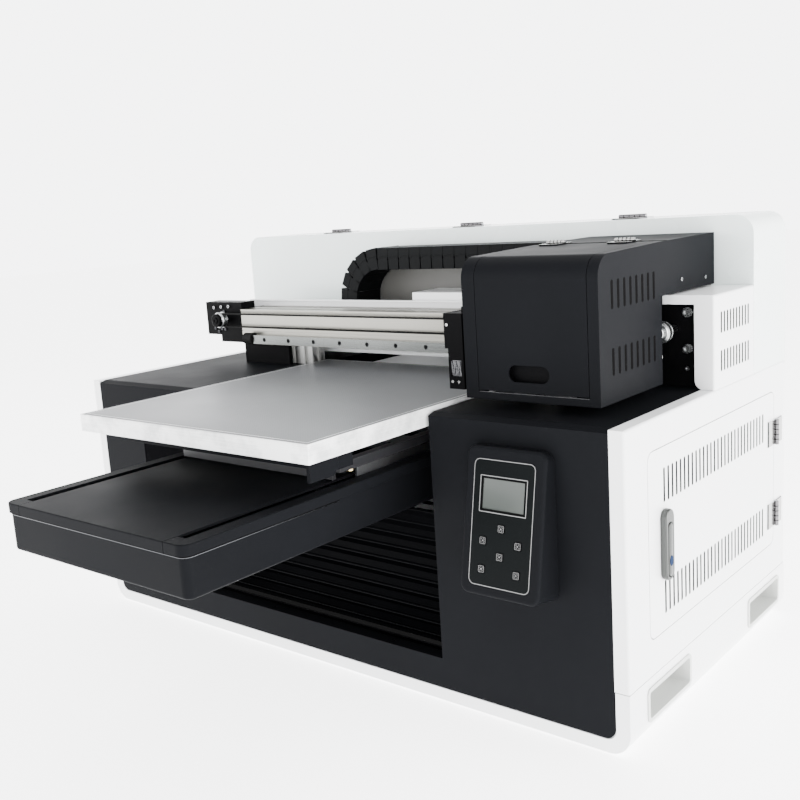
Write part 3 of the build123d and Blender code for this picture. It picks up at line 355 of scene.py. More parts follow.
legend_ink = painted("legend_ink", (0.16, 0.16, 0.16), 0.5, 0.03, 900, 5e-6)
lcd_glass = painted("lcd_glass", (0.047, 0.053, 0.049), 0.18, 0.03, 300, 4e-6, specular=0.3)
head_steel = painted("head_steel", (0.1, 0.1, 0.105), 0.35, 0.06, 1500, 2e-5, metallic=0.8)

# CAD nodes that keep their own shape, by the material they get
looks = {
    charcoal: ["front_panel", "deck_panels", "bed_tub", "bed_rims", "bed_centre_plate", "platen_frame",
               "head_cover", "head_lid", "control_housing"],
    white: ["bottom_skirt", "side_panel_left", "side_panel_right", "side_door", "rear_lid", "rear_panel",
            "end_cover", "chain_tray"],
    pale: ["rear_cover"],
    black: ["gantry_legs", "gantry_end_plates", "uv_lamp", "power_inlet",
            "button_up", "button_left", "button_right", "button_down", "button_stop", "button_start"],
    rubber: ["rubber_feet", "rail_bumpers", "drive_belt"],
    dark_wall: ["inner_frame"],
    grip_plastic: ["carry_grips"],
    beam_metal: ["gantry_beam"],
    clear_metal: ["gantry_uprights"],
    bar_metal: ["lift_bars"],
    rail_steel: ["linear_rails", "carriage_bearing_blocks"],
    plate_metal: ["bed_carriage", "carriage_plate", "power_supply"],
    shaded_chrome: ["cabinet_hinges"],
    chrome: ["lid_hinges"],
    head_steel: ["print_heads"],
    red_plastic: ["power_switch"],
    lcd_glass: ["lcd_screen"],
}


def paint_nodes():
    for material, names in looks.items():
        for name in names:
            slots = nodes[name].data.materials
            slots.clear()
            slots.append(material)


# ---------------------------------------------------------------- mesh building
def circle(u, v, radius, sides=32):
    return [(u + radius * math.cos(2 * math.pi * i / sides),
             v + radius * math.sin(2 * math.pi * i / sides)) for i in range(sides)]


def corners(u0, u1, v0, v1):
    return [(u0, v0), (u1, v0), (u1, v1), (u0, v1)]


def round_corners(u0, u1, v0, v1, radius, steps=6):
    points = []
    centres = ((u1 - radius, v1 - radius), (u0 + radius, v1 - radius),
               (u0 + radius, v0 + radius), (u1 - radius, v0 + radius))
    for quarter, (cu, cv) in enumerate(centres):
        for i in range(steps + 1):
            angle = math.pi / 2 * (quarter + i / steps)
            points.append((cu + radius * math.cos(angle), cv + radius * math.sin(angle)))
    return points


class Form:
    """Closed shapes collected in one mesh. Place turns drawing coordinates into a point."""

    def __init__(self, place=at):
        self.mesh = bmesh.new()
        self.place = place

    def ring(self, axis, outline, level):
        order = {"x": lambda u, v: (level, u, v), "y": lambda u, v: (u, level, v),
                 "z": lambda u, v: (u, v, level)}[axis]
        return [self.mesh.verts.new(self.place(*order(u, v))) for u, v in outline]

    def sides(self, first, second):
        count = len(first)
        for i in range(count):
            j = (i + 1) % count
            self.mesh.faces.new((first[i], first[j], second[j], second[i]))

    def skin(self, rings):
        """Walls from ring to ring, closed at both ends."""
        for first, second in zip(rings, rings[1:]):
            self.sides(first, second)
        self.mesh.faces.new(rings[0])
        self.mesh.faces.new(rings[-1])

    def prism(self, axis, outline, low, high):
        """An outline pushed along an axis; it holds the other two coordinates in X, Y, Z order."""
        self.skin([self.ring(axis, outline, low), self.ring(axis, outline, high)])

    def tube(self, axis, outer, inner, low, high):
        """A prism with a hole; both outlines have the same number of points."""
        rings = [self.ring(axis, outer, low), self.ring(axis, outer, high),
                 self.ring(axis, inner, high), self.ring(axis, inner, low)]
        for index in range(4):
            self.sides(rings[index], rings[(index + 1) % 4])

    def block(self, x0, x1, y0, y1, z0, z1):
        self.prism("z", corners(x0, x1, y0, y1), z0, z1)

    def pocketed_block(self, outline, low, high, centre, radius, pocket_top):
        """A block over a rectangle, with a round blind pocket in its underside."""
        u, v = centre
        (u0, v0), (u1, v1) = outline[0], outline[2]
        angles = [2 * math.pi * (i + 0.5) / 32 for i in range(32)]
        angles += [math.atan2(cv - v, cu - u) % (2 * math.pi) for cu, cv in outline]
        inner = []
        outer = []
        for angle in sorted(angles):
            du, dv = math.cos(angle), math.sin(angle)
            reach = min(((u1 if du > 0 else u0) - u) / du, ((v1 if dv > 0 else v0) - v) / dv)
            inner.append((u + radius * du, v + radius * dv))
            outer.append((u + reach * du, v + reach * dv))
        rings = [self.ring("z", inner, pocket_top), self.ring("z", inner, low),
                 self.ring("z", outer, low), self.ring("z", outer, high)]
        self.skin(rings)

    def lathe(self, axis, centre, profile, sides=32):
        """A profile of (place along the axis, radius) turned about the axis, with closed ends."""
        rings = [self.ring(axis, circle(*centre, radius, sides), level) for level, radius in profile]
        self.skin(rings)

    def sweep(self, sections):
        """A closed skin through sections, each a list of points in drawing coordinates."""
        rings = [[self.mesh.verts.new(self.place(*point)) for point in section] for section in sections]
        self.skin(rings)

    def finish(self, name, material, body, slot, bevel=0.0, stands_for=()):
        """Turns the shapes into one piece that rides on a body."""
        bmesh.ops.recalc_face_normals(self.mesh, faces=self.mesh.faces)
        data = bpy.data.meshes.new(name)
        self.mesh.to_mesh(data)
        self.mesh.free()
        data.materials.append(material)
        for polygon in data.polygons:
            polygon.use_smooth = True
        data.set_sharp_from_angle(angle=math.radians(32))
        piece = add_object(name, data)
        if bevel:
            modifier = piece.modifiers.new("edges", "BEVEL")
            modifier.width = bevel * mm
            modifier.segments = 2
            modifier.limit_method = "ANGLE"
            modifier.angle_limit = math.radians(32)
        if stands_for:
            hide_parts(*stands_for)
        if body:
            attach(piece, body)
        return piece


def socket_screw(form, axis, centre, face, outward, radius, height):
    """A cap screw on a face: rounded head with a hexagon socket. Outward is 1 or -1."""
    top = face + outward * height
    form.lathe(axis, centre, [(face, radius * 0.98), (face + outward * height * 0.75, radius),
                              (top, radius * 0.88), (top, radius * 0.55),
                              (top - outward * height * 0.55, radius * 0.5)], 24)


# ---------------------------------------------------------------- energy chain
chain_pitch = 22.8
chain_height = 36.0
chain_bend_links = 9


def link_outlines(low, high, left, right):
    """Side view of one link's plate: butted above its pin, a wedge gap below it."""
    middle = (low + high) / 2
    return [(left + 1.3, low), (right - 1.3, low), (right - 0.7, middle - 3), (right - 1.6, middle),
            (right - 0.25, middle + 3), (right + 0.9, high), (left + 1.5, high), (left + 0.25, middle + 3),
            (left + 1.6, middle), (left + 0.7, middle - 3)]


def add_link(form, turn, y0, y1):
    """One link: two side plates, a floor and a lid bar. Turn maps the link's own x and z."""
    low, high = -chain_height / 2, chain_height / 2
    left, right = -chain_pitch / 2, chain_pitch / 2

    def mapped(points):
        return [turn(u, v) for u, v in points]

    plate = link_outlines(low, high, left, right)
    for start in (y0, y1 - 5.0):
        form.prism("y", mapped(plate), start, start + 5.0)
    form.prism("y", mapped(corners(left + 3, right - 3, low + 0.4, low + 3)), y0 + 4, y1 - 4)
    form.prism("y", mapped(corners(left + 1.2, right + 0.6, high - 3, high - 0.2)), y0 + 4, y1 - 4)
    form.prism("y", mapped(circle(left + 4.2, 1.5, 1.1, 10)), y0 - 0.5, y0 + 1)
    ridge = corners(left + 2.2, right - 1.0, 3.2, 4.3)
    form.prism("y", mapped(ridge), y0 - 0.5, y0 + 1)


def add_run(form, x0, x1, centre_z, y0, y1, flip=1):
    count = round((x1 - x0) / chain_pitch)
    scale = (x1 - x0) / count / chain_pitch
    for index in range(count):
        middle = x0 + (index + 0.5) * (x1 - x0) / count
        add_link(form, lambda u, v: (middle + u * scale, centre_z + flip * v), y0, y1)


def build_chain():
    """The upper run is flattened as the carriage moves, where real links would pass round the bend."""
    x0, x1, y0, y1, z0, z1 = edges_of("chain_upper")
    y0 += 0.6
    y1 -= 0.6
    upper = Form()
    add_run(upper, x0, x1, (z0 + z1) / 2, y0, y1)
    piece = upper.finish("chain_upper_links", chain_plastic, "print_carriage", "chain_upper",
                         bevel=0.35, stands_for=["chain_upper"])
    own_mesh(piece)

    low = edges_of("chain_lower")
    lower = Form()
    add_run(lower, low[0], low[1], (low[4] + low[5]) / 2, y0, y1, flip=-1)
    lower.finish("chain_lower_links", chain_plastic, "chassis", "chain_lower", bevel=0.35,
                 stands_for=["chain_lower"])

    centre_x = x0 - 1.0
    outer = (z1 - low[4]) / 2
    centre_z = (z1 + low[4]) / 2
    middle_radius = outer - chain_height / 2
    step = math.pi / (chain_bend_links + 0.6)
    widen = 2 * middle_radius * math.tan(step / 2) / chain_pitch
    bend = Form()
    for index in range(chain_bend_links):
        angle = math.pi / 2 + math.pi * (index + 0.5) / (chain_bend_links + 0.6)

        def turn(u, v):
            out = middle_radius + v
            along = u * widen
            return (centre_x + out * math.cos(angle) + along * math.sin(angle),
                    centre_z + out * math.sin(angle) - along * math.cos(angle))

        add_link(bend, turn, y0, y1)
    bend.finish("chain_bend_links", chain_plastic, "chain_loop", "chain_bend", bevel=0.35,
                stands_for=["chain_bend"])


# ---------------------------------------------------------------- table
bed_x = 4.0                      # middle of the bed and its two screws
lift_screw_y = 38.0


def build_platen():
    """A cut plate with a perforated sheet let into its top, inside a thin bright line."""
    x0, x1, y0, y1, z0, z1 = edges_of("platen")
    sheet = 1.5
    edge = 7.0
    line = 0.8

    def inset(amount):
        return corners(x0 + amount, x1 - amount, y0 + amount, y1 - amount)

    core = Form()
    core.pocketed_block(inset(0), z0, z1 - sheet, (bed_x, lift_screw_y), 8.0, z1 - 4.0)
    core.tube("z", inset(0), inset(1.2), z1 - sheet - 0.01, z1 - 0.15)
    milled = milled_aluminium()
    core.finish("platen_core", milled, "table", "platen", bevel=0.5, stands_for=["platen"])
    low = at(x0 + edge, y0 + edge, 0)
    high = at(x1 - edge, y1 - edge, 0)
    look = perforated_sheet(0.0040, 0.0009, ((low.x, high.x), (low.y, high.y)))
    inlay = Form()
    inlay.tube("z", inset(edge), inset(edge + line), z1 - sheet, z1 - 0.02)
    inlay.finish("platen_inlay", milled, "table", "platen")
    top = Form()
    top.prism("z", inset(edge + line), z1 - sheet, z1)
    top.finish("platen_top", look, "table", "platen", bevel=0.25)
    rim = Form()
    rim.tube("z", inset(1.25), inset(edge), z1 - sheet, z1 - 0.05)
    margin = painted("platen_margin", (0.086, 0.089, 0.094), 0.42, 0.05, 1200, 3e-5, metallic=0.35)
    rim.finish("platen_margin", margin, "table", "platen", bevel=0.25)


# ---------------------------------------------------------------- dust cover under the bed
def build_bellows():
    x0, x1 = edges_of("floor_bellows")[:2]
    centre_y, centre_z = 20.0, 199.0
    fold_radius = 145.0
    pleats = 11
    per_pleat = ((0.0, -1.0), (0.10, -0.2), (0.55, -3.5), (0.92, 0.0))

    def point(share, depth):
        angle = math.pi / 2 * share
        radius = fold_radius + depth
        return centre_y + radius * math.sin(angle), centre_z - radius * math.cos(angle)

    front = []
    for index in range(pleats):
        front += [point((index + part) / pleats, depth) for part, depth in per_pleat]
    front.append(point(1, -1.0))
    back = [point(1 - index / pleats, 3.0) for index in range(pleats + 1)]
    cloth = Form()
    cloth.prism("x", front + back, x0 + 0.5, x1 - 0.5)
    cloth.finish("bellows_cloth", bellows_cloth, "chassis", "floor_bellows", stands_for=["floor_bellows"])
    ribs = Form()
    for index in range(pleats):
        y, z = point((index + 0.92) / pleats, -0.2)
        ribs.prism("x", circle(y, z, 0.8, 8), x0 + 1, x1 - 1)
    ribs.finish("bellows_ribs", pleat_edge, "chassis", "floor_bellows")


# ---------------------------------------------------------------- control panel
panel_top = (15.0, 365.0)        # depth in front of the panel, height
panel_bottom = (48.0, 187.0)
panel_slope = math.atan2(panel_bottom[0] - panel_top[0], panel_top[1] - panel_bottom[1])
panel_centre = at(355.0, -(panel_top[0] + panel_bottom[0]) / 2, (panel_top[1] + panel_bottom[1]) / 2)
key_places = {
    "button_up": (0.0, -6.0),
    "button_left": (-25.0, -23.0),
    "button_right": (24.5, -23.0),
    "button_down": (0.0, -39.6),
    "button_stop": (-25.0, -57.5),
    "button_start": (24.5, -57.5),
}


def on_panel(x, y, z):
    """X across the panel, Z up its slope, Y into it, all from its middle, in millimetres."""
    across = Vector((x, 0, 0))
    upward = Vector((0, math.sin(panel_slope), math.cos(panel_slope))) * z
    inward = Vector((0, math.cos(panel_slope), -math.sin(panel_slope))) * y
    return panel_centre + (across + upward + inward) * mm


def frame_line(form, u0, u1, v0, v1, radius, width, low, high):
    outer = round_corners(u0, u1, v0, v1, radius)
    inner = round_corners(u0 + width, u1 - width, v0 + width, v1 - width, max(0.2, radius - width))
    form.tube("y", outer, inner, low, high)


def icon_outlines(name):
    """Generic symbols: arrows, a square and a triangle."""
    arrow = [(-1.7, -1.3), (1.7, -1.3), (0, 1.7)]
    turns = {"button_up": 0, "button_left": 1, "button_down": 2, "button_right": 3, "button_start": 3}
    if name not in turns:
        return corners(-1.3, 1.3, -1.3, 1.3)
    angle = turns[name] * math.pi / 2
    return [(u * math.cos(angle) - v * math.sin(angle), u * math.sin(angle) + v * math.cos(angle))
            for u, v in arrow]


def build_panel():
    window = (-31.0, 31.0, 13.6, 53.6)
    skin = (-0.45, 0.2)
    ink = (-1.32, -1.1)
    sheet = Form(on_panel)
    left, right, low, high = -43.2, 43.2, -78.0, 75.5
    outline = round_corners(left, right, low, high, 8.0)
    hole_low, hole_high = window[2:]
    above = [p for p in outline if p[1] > hole_high]
    sheet.prism("y", [(left, hole_high), (right, hole_high)] + above, *skin)
    sheet.block(left, window[0], *skin, hole_low, hole_high)
    sheet.block(window[1], right, *skin, hole_low, hole_high)
    key = 5.3                    # half the hole round a key
    rows = sorted({place[1] for place in key_places.values()}, reverse=True)
    level = hole_low
    for row in rows:
        row_keys = sorted(x for x, z in key_places.values() if z == row)
        sheet.block(left, right, *skin, row + key, level)
        start = left
        for x in row_keys:
            sheet.block(start, x - key, *skin, row - key, row + key)
            start = x + key
        sheet.block(start, right, *skin, row - key, row + key)
        level = row - key
    sheet.prism("y", [(right, level), (left, level)] + [p for p in outline if p[1] < level], *skin)
    sheet.finish("panel_membrane", membrane, "chassis", "control_housing")

    lines = Form(on_panel)
    frame_line(lines, left + 0.3, right - 0.3, low + 0.3, high - 0.3, 7.7, 0.85, -0.6, -0.3)
    frame_line(lines, window[0] - 2.2, window[1] + 2.2, hole_low - 2.2, hole_high + 2.2,
               0.8, 0.95, -0.6, -0.3)
    lines.finish("panel_lines", legend_ink, "chassis", "control_housing")

    bezel = Form(on_panel)
    frame_line(bezel, *window, 0.6, 1.6, -0.35, 1.2)
    bezel.finish("lcd_bezel", void, "chassis", "lcd_screen")

    for name, (x, z) in key_places.items():
        print_form = Form(on_panel)
        half = 4.0
        frame_line(print_form, x - half, x + half, z - half, z + half, 1.2, 0.42, *ink)
        for quarter in range(4):
            start = math.pi / 4 + quarter * math.pi / 2 - 0.45
            arc = [(x + radius * math.cos(start + 0.15 * i), z + radius * math.sin(start + 0.15 * i))
                   for radius, order in ((2.9, range(7)), (2.5, range(6, -1, -1))) for i in order]
            print_form.prism("y", arc, *ink)
        print_form.prism("y", [(x + u * 0.75, z + v * 0.75) for u, v in icon_outlines(name)], *ink)
        print_form.finish(name + "_legend", legend_ink, "key_" + name[7:], name)


# ---------------------------------------------------------------- vents
def fill_slots(form, face, y_first, y_last, count, z0, z1, width):
    """Foam filter that shows in a row of upright slots, just behind the sheet's outer face."""
    step = (y_last - y_first) / (count - 1)
    for index in range(count):
        y = y_first + index * step
        outline = round_corners(y - width / 2 - 0.05, y + width / 2 + 0.05, z0 - 0.05, z1 + 0.05,
                                width * 0.45, 3)
        form.prism("x", outline, face - 2.6, face - 0.12)


def build_filters():
    for name, body, node, face, slots, rows in (
            ("door_filter", "door", "side_door", edges_of("side_door")[1] - 1.4,
             (100.0, 424.5, 29), ((148.0, 190.5, 5.0), (288.0, 330.5, 5.0))),
            ("end_cover_filter", "chassis", "end_cover", 500.0,
             (275.5, 368.3, 10), ((417.0, 445.0, 5.0), (467.0, 495.0, 5.0))),
            ("head_filter", "print_carriage", "head_cover", edges_of("head_cover")[1],
             (80.0, 190.0, 8), ((441.0, 474.0, 6.0), (519.5, 554.0, 6.0)))):
        foam = Form()
        for row in rows:
            fill_slots(foam, face, *slots, *row)
        foam.finish(name, void, body, node)


# ---------------------------------------------------------------- side door
def build_door_details():
    """Capsule handle with a lever inlaid in its recess and an oval lock button on the lever."""
    x0, x1, y0, y1, z0, z1 = edges_of("door_handle")
    low_x, high_x, lever_y0, lever_y1, lever_z0, lever_z1 = edges_of("door_lever")
    radius = (y1 - y0) / 2 - 0.1
    capsule = round_corners(y0, y1, z0, z1, radius, 10)
    recess = round_corners(lever_y0 - 0.3, lever_y1 + 0.3, lever_z0 - 0.6, lever_z1 + 0.6, 6.0, 10)
    body = Form()
    body.tube("x", capsule, recess, x0 + 0.05, x1 - 0.1)
    body.finish("handle_body", satin_silver, "door", "door_handle", bevel=1.6, stands_for=["door_handle"])
    floor = Form()
    floor.prism("x", round_corners(lever_y0 - 0.6, lever_y1 + 0.6, lever_z0 - 0.9, lever_z1 + 0.9, 6.3, 10),
                x0 + 0.05, low_x - 0.35)
    floor.finish("handle_recess", void, "door", "door_handle")
    sections = []
    for x, inset, drop in ((low_x + 0.1, 0.6, 1.8), (low_x + 0.7, 0.1, 0.9), (low_x + 1.9, 0.1, 0.1),
                           (high_x - 2.4, 0.1, 0.1), (high_x - 1.0, 0.8, 0.8), (high_x - 0.5, 2.2, 2.2)):
        outline = round_corners(lever_y0 + inset, lever_y1 - inset, lever_z0 + inset, lever_z1 - drop,
                                5.8 - inset, 10)
        sections.append([(x, y, z) for y, z in outline])
    lever = Form()
    lever.sweep(sections)
    lever.finish("handle_lever", satin_silver, "lever", "door_lever", stands_for=["door_lever"])
    middle = (lever_y0 + lever_y1) / 2
    lock_z = 217.0
    oval = [(middle + 4.4 * math.cos(t * math.pi / 16), lock_z + 6.6 * math.sin(t * math.pi / 16))
            for t in range(32)]
    lock = Form()
    lock.prism("x", oval, high_x - 0.9, high_x - 0.05)
    lock.finish("handle_lock", blue_plastic, "lever", "door_lever", bevel=0.3)


def hinge_details(form_screws, form_gaps, axis, barrel, ends, radius):
    """Dark lines between a hinge's knuckles, and the pin's two ends."""
    low, high = ends
    count = 5
    for index in range(1, count):
        middle = low + (high - low) * index / count
        form_gaps.lathe(axis, barrel, [(middle - 0.55, radius + 0.12), (middle + 0.55, radius + 0.12)], 20)
    wide, narrow = radius * 0.8, radius * 0.5
    form_screws.lathe(axis, barrel, [(low - 1.0, narrow), (low - 0.2, wide), (low + 1, wide)], 16)
    form_screws.lathe(axis, barrel, [(high - 1, wide), (high + 0.2, wide), (high + 1.0, narrow)], 16)


def flat_screw(form, axis, centre, face, outward, radius):
    """A countersunk screw: a shallow dome with a small pit in its middle."""
    profile = ((0, 1), (0.35, 0.9), (0.55, 0.5), (0.1, 0.28))
    form.lathe(axis, centre, [(face + outward * out, radius * share) for out, share in profile], 20)


def build_hinges():
    screws, gaps, door_screws, lid_screws = Form(), Form(), Form(), Form()
    door_leaves, fixed_leaves, shadows, lid_leaves = Form(), Form(), Form(), Form()
    for z0 in (153.0, 277.0):
        z1 = z0 + 37.0
        hinge_details(screws, gaps, "z", (503.6, 472.0), (z0, z1), 3.2)
        for z in (z0 + 8, z0 + 29):
            flat_screw(screws, "x", (487.0, z), 501.4, 1, 2.6)
            flat_screw(door_screws, "x", (456.5, z), 501.4, 1, 2.6)
        door_leaves.block(501.35, 501.9, 445.5, 467.6, z0, z1)
        fixed_leaves.block(501.35, 501.9, 476.2, 496.4, z0 + 0.6, z1 - 0.6)
        # Two black strips beside each door hinge's leaves: painted shadow.
        shadows.block(500.1, 501.2, 496.6, 499.4, z0, z1)
        shadows.block(500.1, 501.1, 444.2, 446.0, z0 - 0.5, z1 + 0.5)
    lid_pin = (440.0, 616.97)
    for x in (-300.0, 0.0, 297.0):
        hinge_details(screws, gaps, "x", lid_pin, (x - 22, x + 22), 3.2)
        for dx in (-13, 13):
            flat_screw(screws, "z", (x + dx, 428.0), 614.9, 1, 2.4)
            flat_screw(lid_screws, "z", (x + dx, 455.5), 614.9, 1, 2.4)
        fixed_leaves.block(x - 21.4, x + 21.4, 417.0, 436.5, 614.85, 615.4)
        # A black strip beside each lid hinge's fixed leaf: painted shadow.
        shadows.block(x - 22.5, x + 22.5, 414.6, 416.4, 613.6, 614.6)
        lid_leaves.block(x - 22, x + 22, 444.4, 466.1, 614.85, 615.4)
    screws.finish("hinge_screws", steel_screw, "chassis", "cabinet_hinges")
    gaps.finish("hinge_knuckle_gaps", void, "chassis", "cabinet_hinges")
    door_screws.finish("door_leaf_screws", steel_screw, "door", "side_door")
    lid_screws.finish("rear_lid_leaf_screws", steel_screw, "rear_hatch", "rear_lid")
    head_pins, head_gaps, head_leaves = Form(), Form(), Form()
    for x in (292.0, 394.0):
        hinge_details(head_pins, head_gaps, "x", (222.5, 592.6), (x - 14, x + 14), 2.6)
        head_leaves.block(x - 14, x + 14, 199.8, 217.2, 590.65, 591.1)
    head_pins.finish("head_hinge_pins", steel_screw, "print_carriage", "lid_hinges")
    head_gaps.finish("head_hinge_gaps", void, "print_carriage", "lid_hinges")
    door_leaves.finish("door_leaves", chrome, "door", "side_door", bevel=0.2)
    fixed_leaves.finish("hinge_leaf_plates", chrome, "chassis", "cabinet_hinges", bevel=0.2)
    shadows.finish("hinge_leaf_shadows", void, "chassis", "cabinet_hinges")
    lid_leaves.finish("rear_lid_leaves", chrome, "rear_hatch", "rear_lid", bevel=0.2)
    head_leaves.finish("head_lid_leaves", chrome, "print_lid", "head_lid", bevel=0.2)


# ---------------------------------------------------------------- print carriage
def build_head_details():
    screws = Form()
    for y, z in ((271.0, 537.0), (348.0, 533.0)):
        socket_screw(screws, "x", (y, z), 448.0, 1, 2.6, 1.6)
    screws.finish("head_arm_screws", steel_screw, "print_carriage", "head_cover")
    pocket = Form()
    outer = round_corners(318.0, 384.0, 428.5, 456.5, 13.0)
    inner = round_corners(320.0, 382.0, 430.5, 454.5, 11.5)
    pocket.tube("y", outer, inner, 49.2, 57.0)
    pocket.prism("y", outer, 57.0, 58.6)
    pocket.finish("lid_finger_pocket", black, "print_lid", "head_lid", bevel=0.6)
    seal = Form()
    x0, x1, _, _, _, top_z = edges_of("head_cover")
    seal.block(x0 + 0.5, x1 - 0.5, 225.0, 232.5, top_z - 2.6, top_z - 1.55)
    seal.finish("lid_rear_seal", void, "print_carriage", "head_cover")
    # A lighter strip on the sill under the lid: painted highlight of the sill's top edge.
    sill = Form()
    sill.block(277.0, 433.0, 47.15, 48.9, 417.0, 417.5)
    sill.finish("lid_sill_highlight", sill_highlight_paint, "print_carriage", "head_cover")

    lamp = Form()
    face = 60.0
    for x in (226.5, 236.5):
        socket_screw(lamp, "y", (x, 424.5), face, -1, 2.0, 1.0)
    socket_screw(lamp, "y", (221.0, 499.0), face, -1, 2.1, 1.0)
    lamp.finish("lamp_screws", chrome, "print_carriage", "uv_lamp")
    fins = Form()
    for index in range(5):
        x = 225.5 + index * 3.2
        lean = 1.2 if index % 2 else -1.2
        fins.prism("y", [(x - 1.0 - lean, 432.5), (x + 1.0 - lean, 432.5), (x + 1.0 + lean, 451.5),
                         (x - 1.0 + lean, 451.5)], 61.0, 63.5)
    fins.block(223.5, 240.5, 62.4, 63.8, 431.5, 452.5)
    fins.finish("lamp_reflector", reflector, "print_carriage", "uv_lamp", bevel=0.2)


pulley_teeth = 24


def pulley_profile(hub, end):
    """Side of a flanged belt pulley from its hub's face to the end of its shaft."""
    return [(hub, 8.4), (hub + 0.8, 9.0), (223.0, 9.0), (223.1, 11.8), (224.4, 12.4), (225.0, 14.0),
            (225.6, 14.5), (226.0, 14.3), (226.3, 10.9), (233.7, 10.9), (234.0, 14.3), (234.4, 14.5),
            (235.3, 14.0), (235.4, 7.0), (end - 0.3, 5.0)]


def add_teeth(form, centre):
    for index in range(pulley_teeth):
        angle = 2 * math.pi * index / pulley_teeth
        outline = [(centre[0] + r * math.cos(angle + d), centre[1] + r * math.sin(angle + d))
                   for r, d in ((9.8, -0.05), (10.98, -0.035), (10.98, 0.035), (9.8, 0.05))]
        form.prism("y", outline, 226.2, 233.8)


def build_pulleys():
    for side, node, body in (("idler", "idler_pulley", "idler"), ("drive", "drive_pulley", "drive")):
        x0, x1, y0, y1, z0, z1 = edges_of(node)
        centre = ((x0 + x1) / 2, (z0 + z1) / 2)
        wheel = Form()
        wheel.lathe("y", centre, pulley_profile(217.6, y1), 48)
        add_teeth(wheel, centre)
        wheel.finish(side + "_wheel", turned, body, node, stands_for=[node])
        hub = Form()
        if side == "idler":
            hub.lathe("y", centre, [(216.6, 2.4), (215.4, 2.8), (215.4, 5.4), (217.2, 5.8), (217.4, 10.8),
                                    (218.2, 11.9), (222.4, 12.0), (223.05, 11.6)], 40)
            hub.finish("idler_hub", black, body, node)
        else:
            hub.lathe("y", centre, [(y0, 3.6), (y0 + 0.8, 4.6), (217.7, 4.8)], 32)
            hub.lathe("x", (220.5, centre[1]), [(centre[0] + 7, 1.6), (centre[0] + 10.2, 1.6)], 12)
            hub.finish("drive_shaft_end", chrome, body, node)


def build_bolts():
    """Screws of the gantry's end plates."""
    large = Form()
    for x, z in ((457.5, 494.0), (457.5, 446.0), (404.0, 494.0)):
        large.lathe("y", (x, z), [(270.0, 6.3), (267.4, 6.5), (267.2, 5.7), (266.8, 5.7), (266.6, 6.4),
                                  (264.6, 6.4), (263.6, 5.4), (263.6, 3.5), (266.4, 3.2)])
    large.finish("end_plate_bolts", turned, "chassis", "gantry_bolts", stands_for=["gantry_bolts"])
    small, dull = Form(), Form()
    for form, face, radius, height, places in (
            (small, 270.0, 3.8, 3.4, ((457.0, 420.0), (404.0, 420.0))),
            (small, 243.0, 3.0, 3.0, ((-451.0, 493.0), (-431.0, 494.5), (-411.0, 495.5))),
            (dull, 243.0, 2.6, 2.4, ((-452.0, 454.5), (-443.0, 449.0), (-434.0, 454.0), (-425.0, 453.5),
                                     (-425.0, 486.0)))):
        for place in places:
            socket_screw(form, "y", place, face, -1, radius, height)
    small.finish("end_plate_screws", steel_screw, "chassis", "gantry_bolts")
    dull.finish("end_plate_black_screws", black_steel, "chassis", "gantry_bolts")
    stop = Form()
    stop.lathe("y", (428.0, 438.0), [(270.0, 3.2), (250.0, 3.2), (249.6, 5.4), (248.0, 6.0),
                                     (243.0, 6.0), (242.0, 5.0)], 24)
    stop.finish("carriage_stop", chrome, "chassis", "gantry_end_plates")


def build_beam_details():
    screws = Form()
    x0, x1 = -334.0, 383.0
    hole_pitch = 60
    count = int((x1 - x0 - 30) // hole_pitch)
    margin = (x1 - x0 - count * hole_pitch) / 2
    for index in range(count + 1):
        x = x0 + margin + index * hole_pitch
        screws.lathe("y", (x, 439.5), [(231.2, 3.5), (228.4, 3.5), (227.9, 3.1), (227.9, 1.7),
                                       (230.4, 1.6)], 20)
    screws.finish("rail_screws", black_steel, "chassis", "linear_rails")
    teeth = Form()
    start, end = -411.0, 427.0
    pitch = 3.0
    for index in range(int((end - start) / pitch)):
        x = start + index * pitch
        for z0, z1 in ((482.2, 483.05), (460.95, 461.8)):
            teeth.block(x, x + 1.5, 226.6, 233.4, z0, z1)
    teeth.finish("belt_teeth", rubber, "chassis", "drive_belt")
    strip = Form()
    x0, x1, y0, y1, z0, z1 = edges_of("gantry_beam")
    strip.block(x0 + 0.3, x1 - 0.3, y0 + 11.9, y0 + 20.1, z1 - 3.0, z1 - 1.2)
    strip.block(x0 + 0.3, x1 - 0.3, y1 - 20.1, y1 - 11.9, z1 - 3.0, z1 - 1.2)
    strip.finish("beam_slot_strips", black, "chassis", "gantry_beam")


def helix(form, centre, axis, low, high, radius, lead, starts, depth, hand=1):
    """Raised threads wound on a screw, one for each start."""
    per_turn = 28
    steps = int((high - low) / lead * per_turn)
    half = 0.34 * lead / starts
    for start in range(starts):
        sections = []
        for step in range(steps + 1):
            angle = hand * 2 * math.pi * (step / per_turn + start / starts)
            level = low + lead * step / per_turn
            section = []
            for offset, out in ((-half, 0.02), (-0.4 * half, depth), (0.4 * half, depth), (half, 0.02)):
                r = radius - depth + out
                u = centre[0] + r * math.cos(angle)
                v = centre[1] + r * math.sin(angle)
                section.append((u, level + offset, v) if axis == "y" else (u, v, level + offset))
            sections.append(section)
        form.sweep(sections)


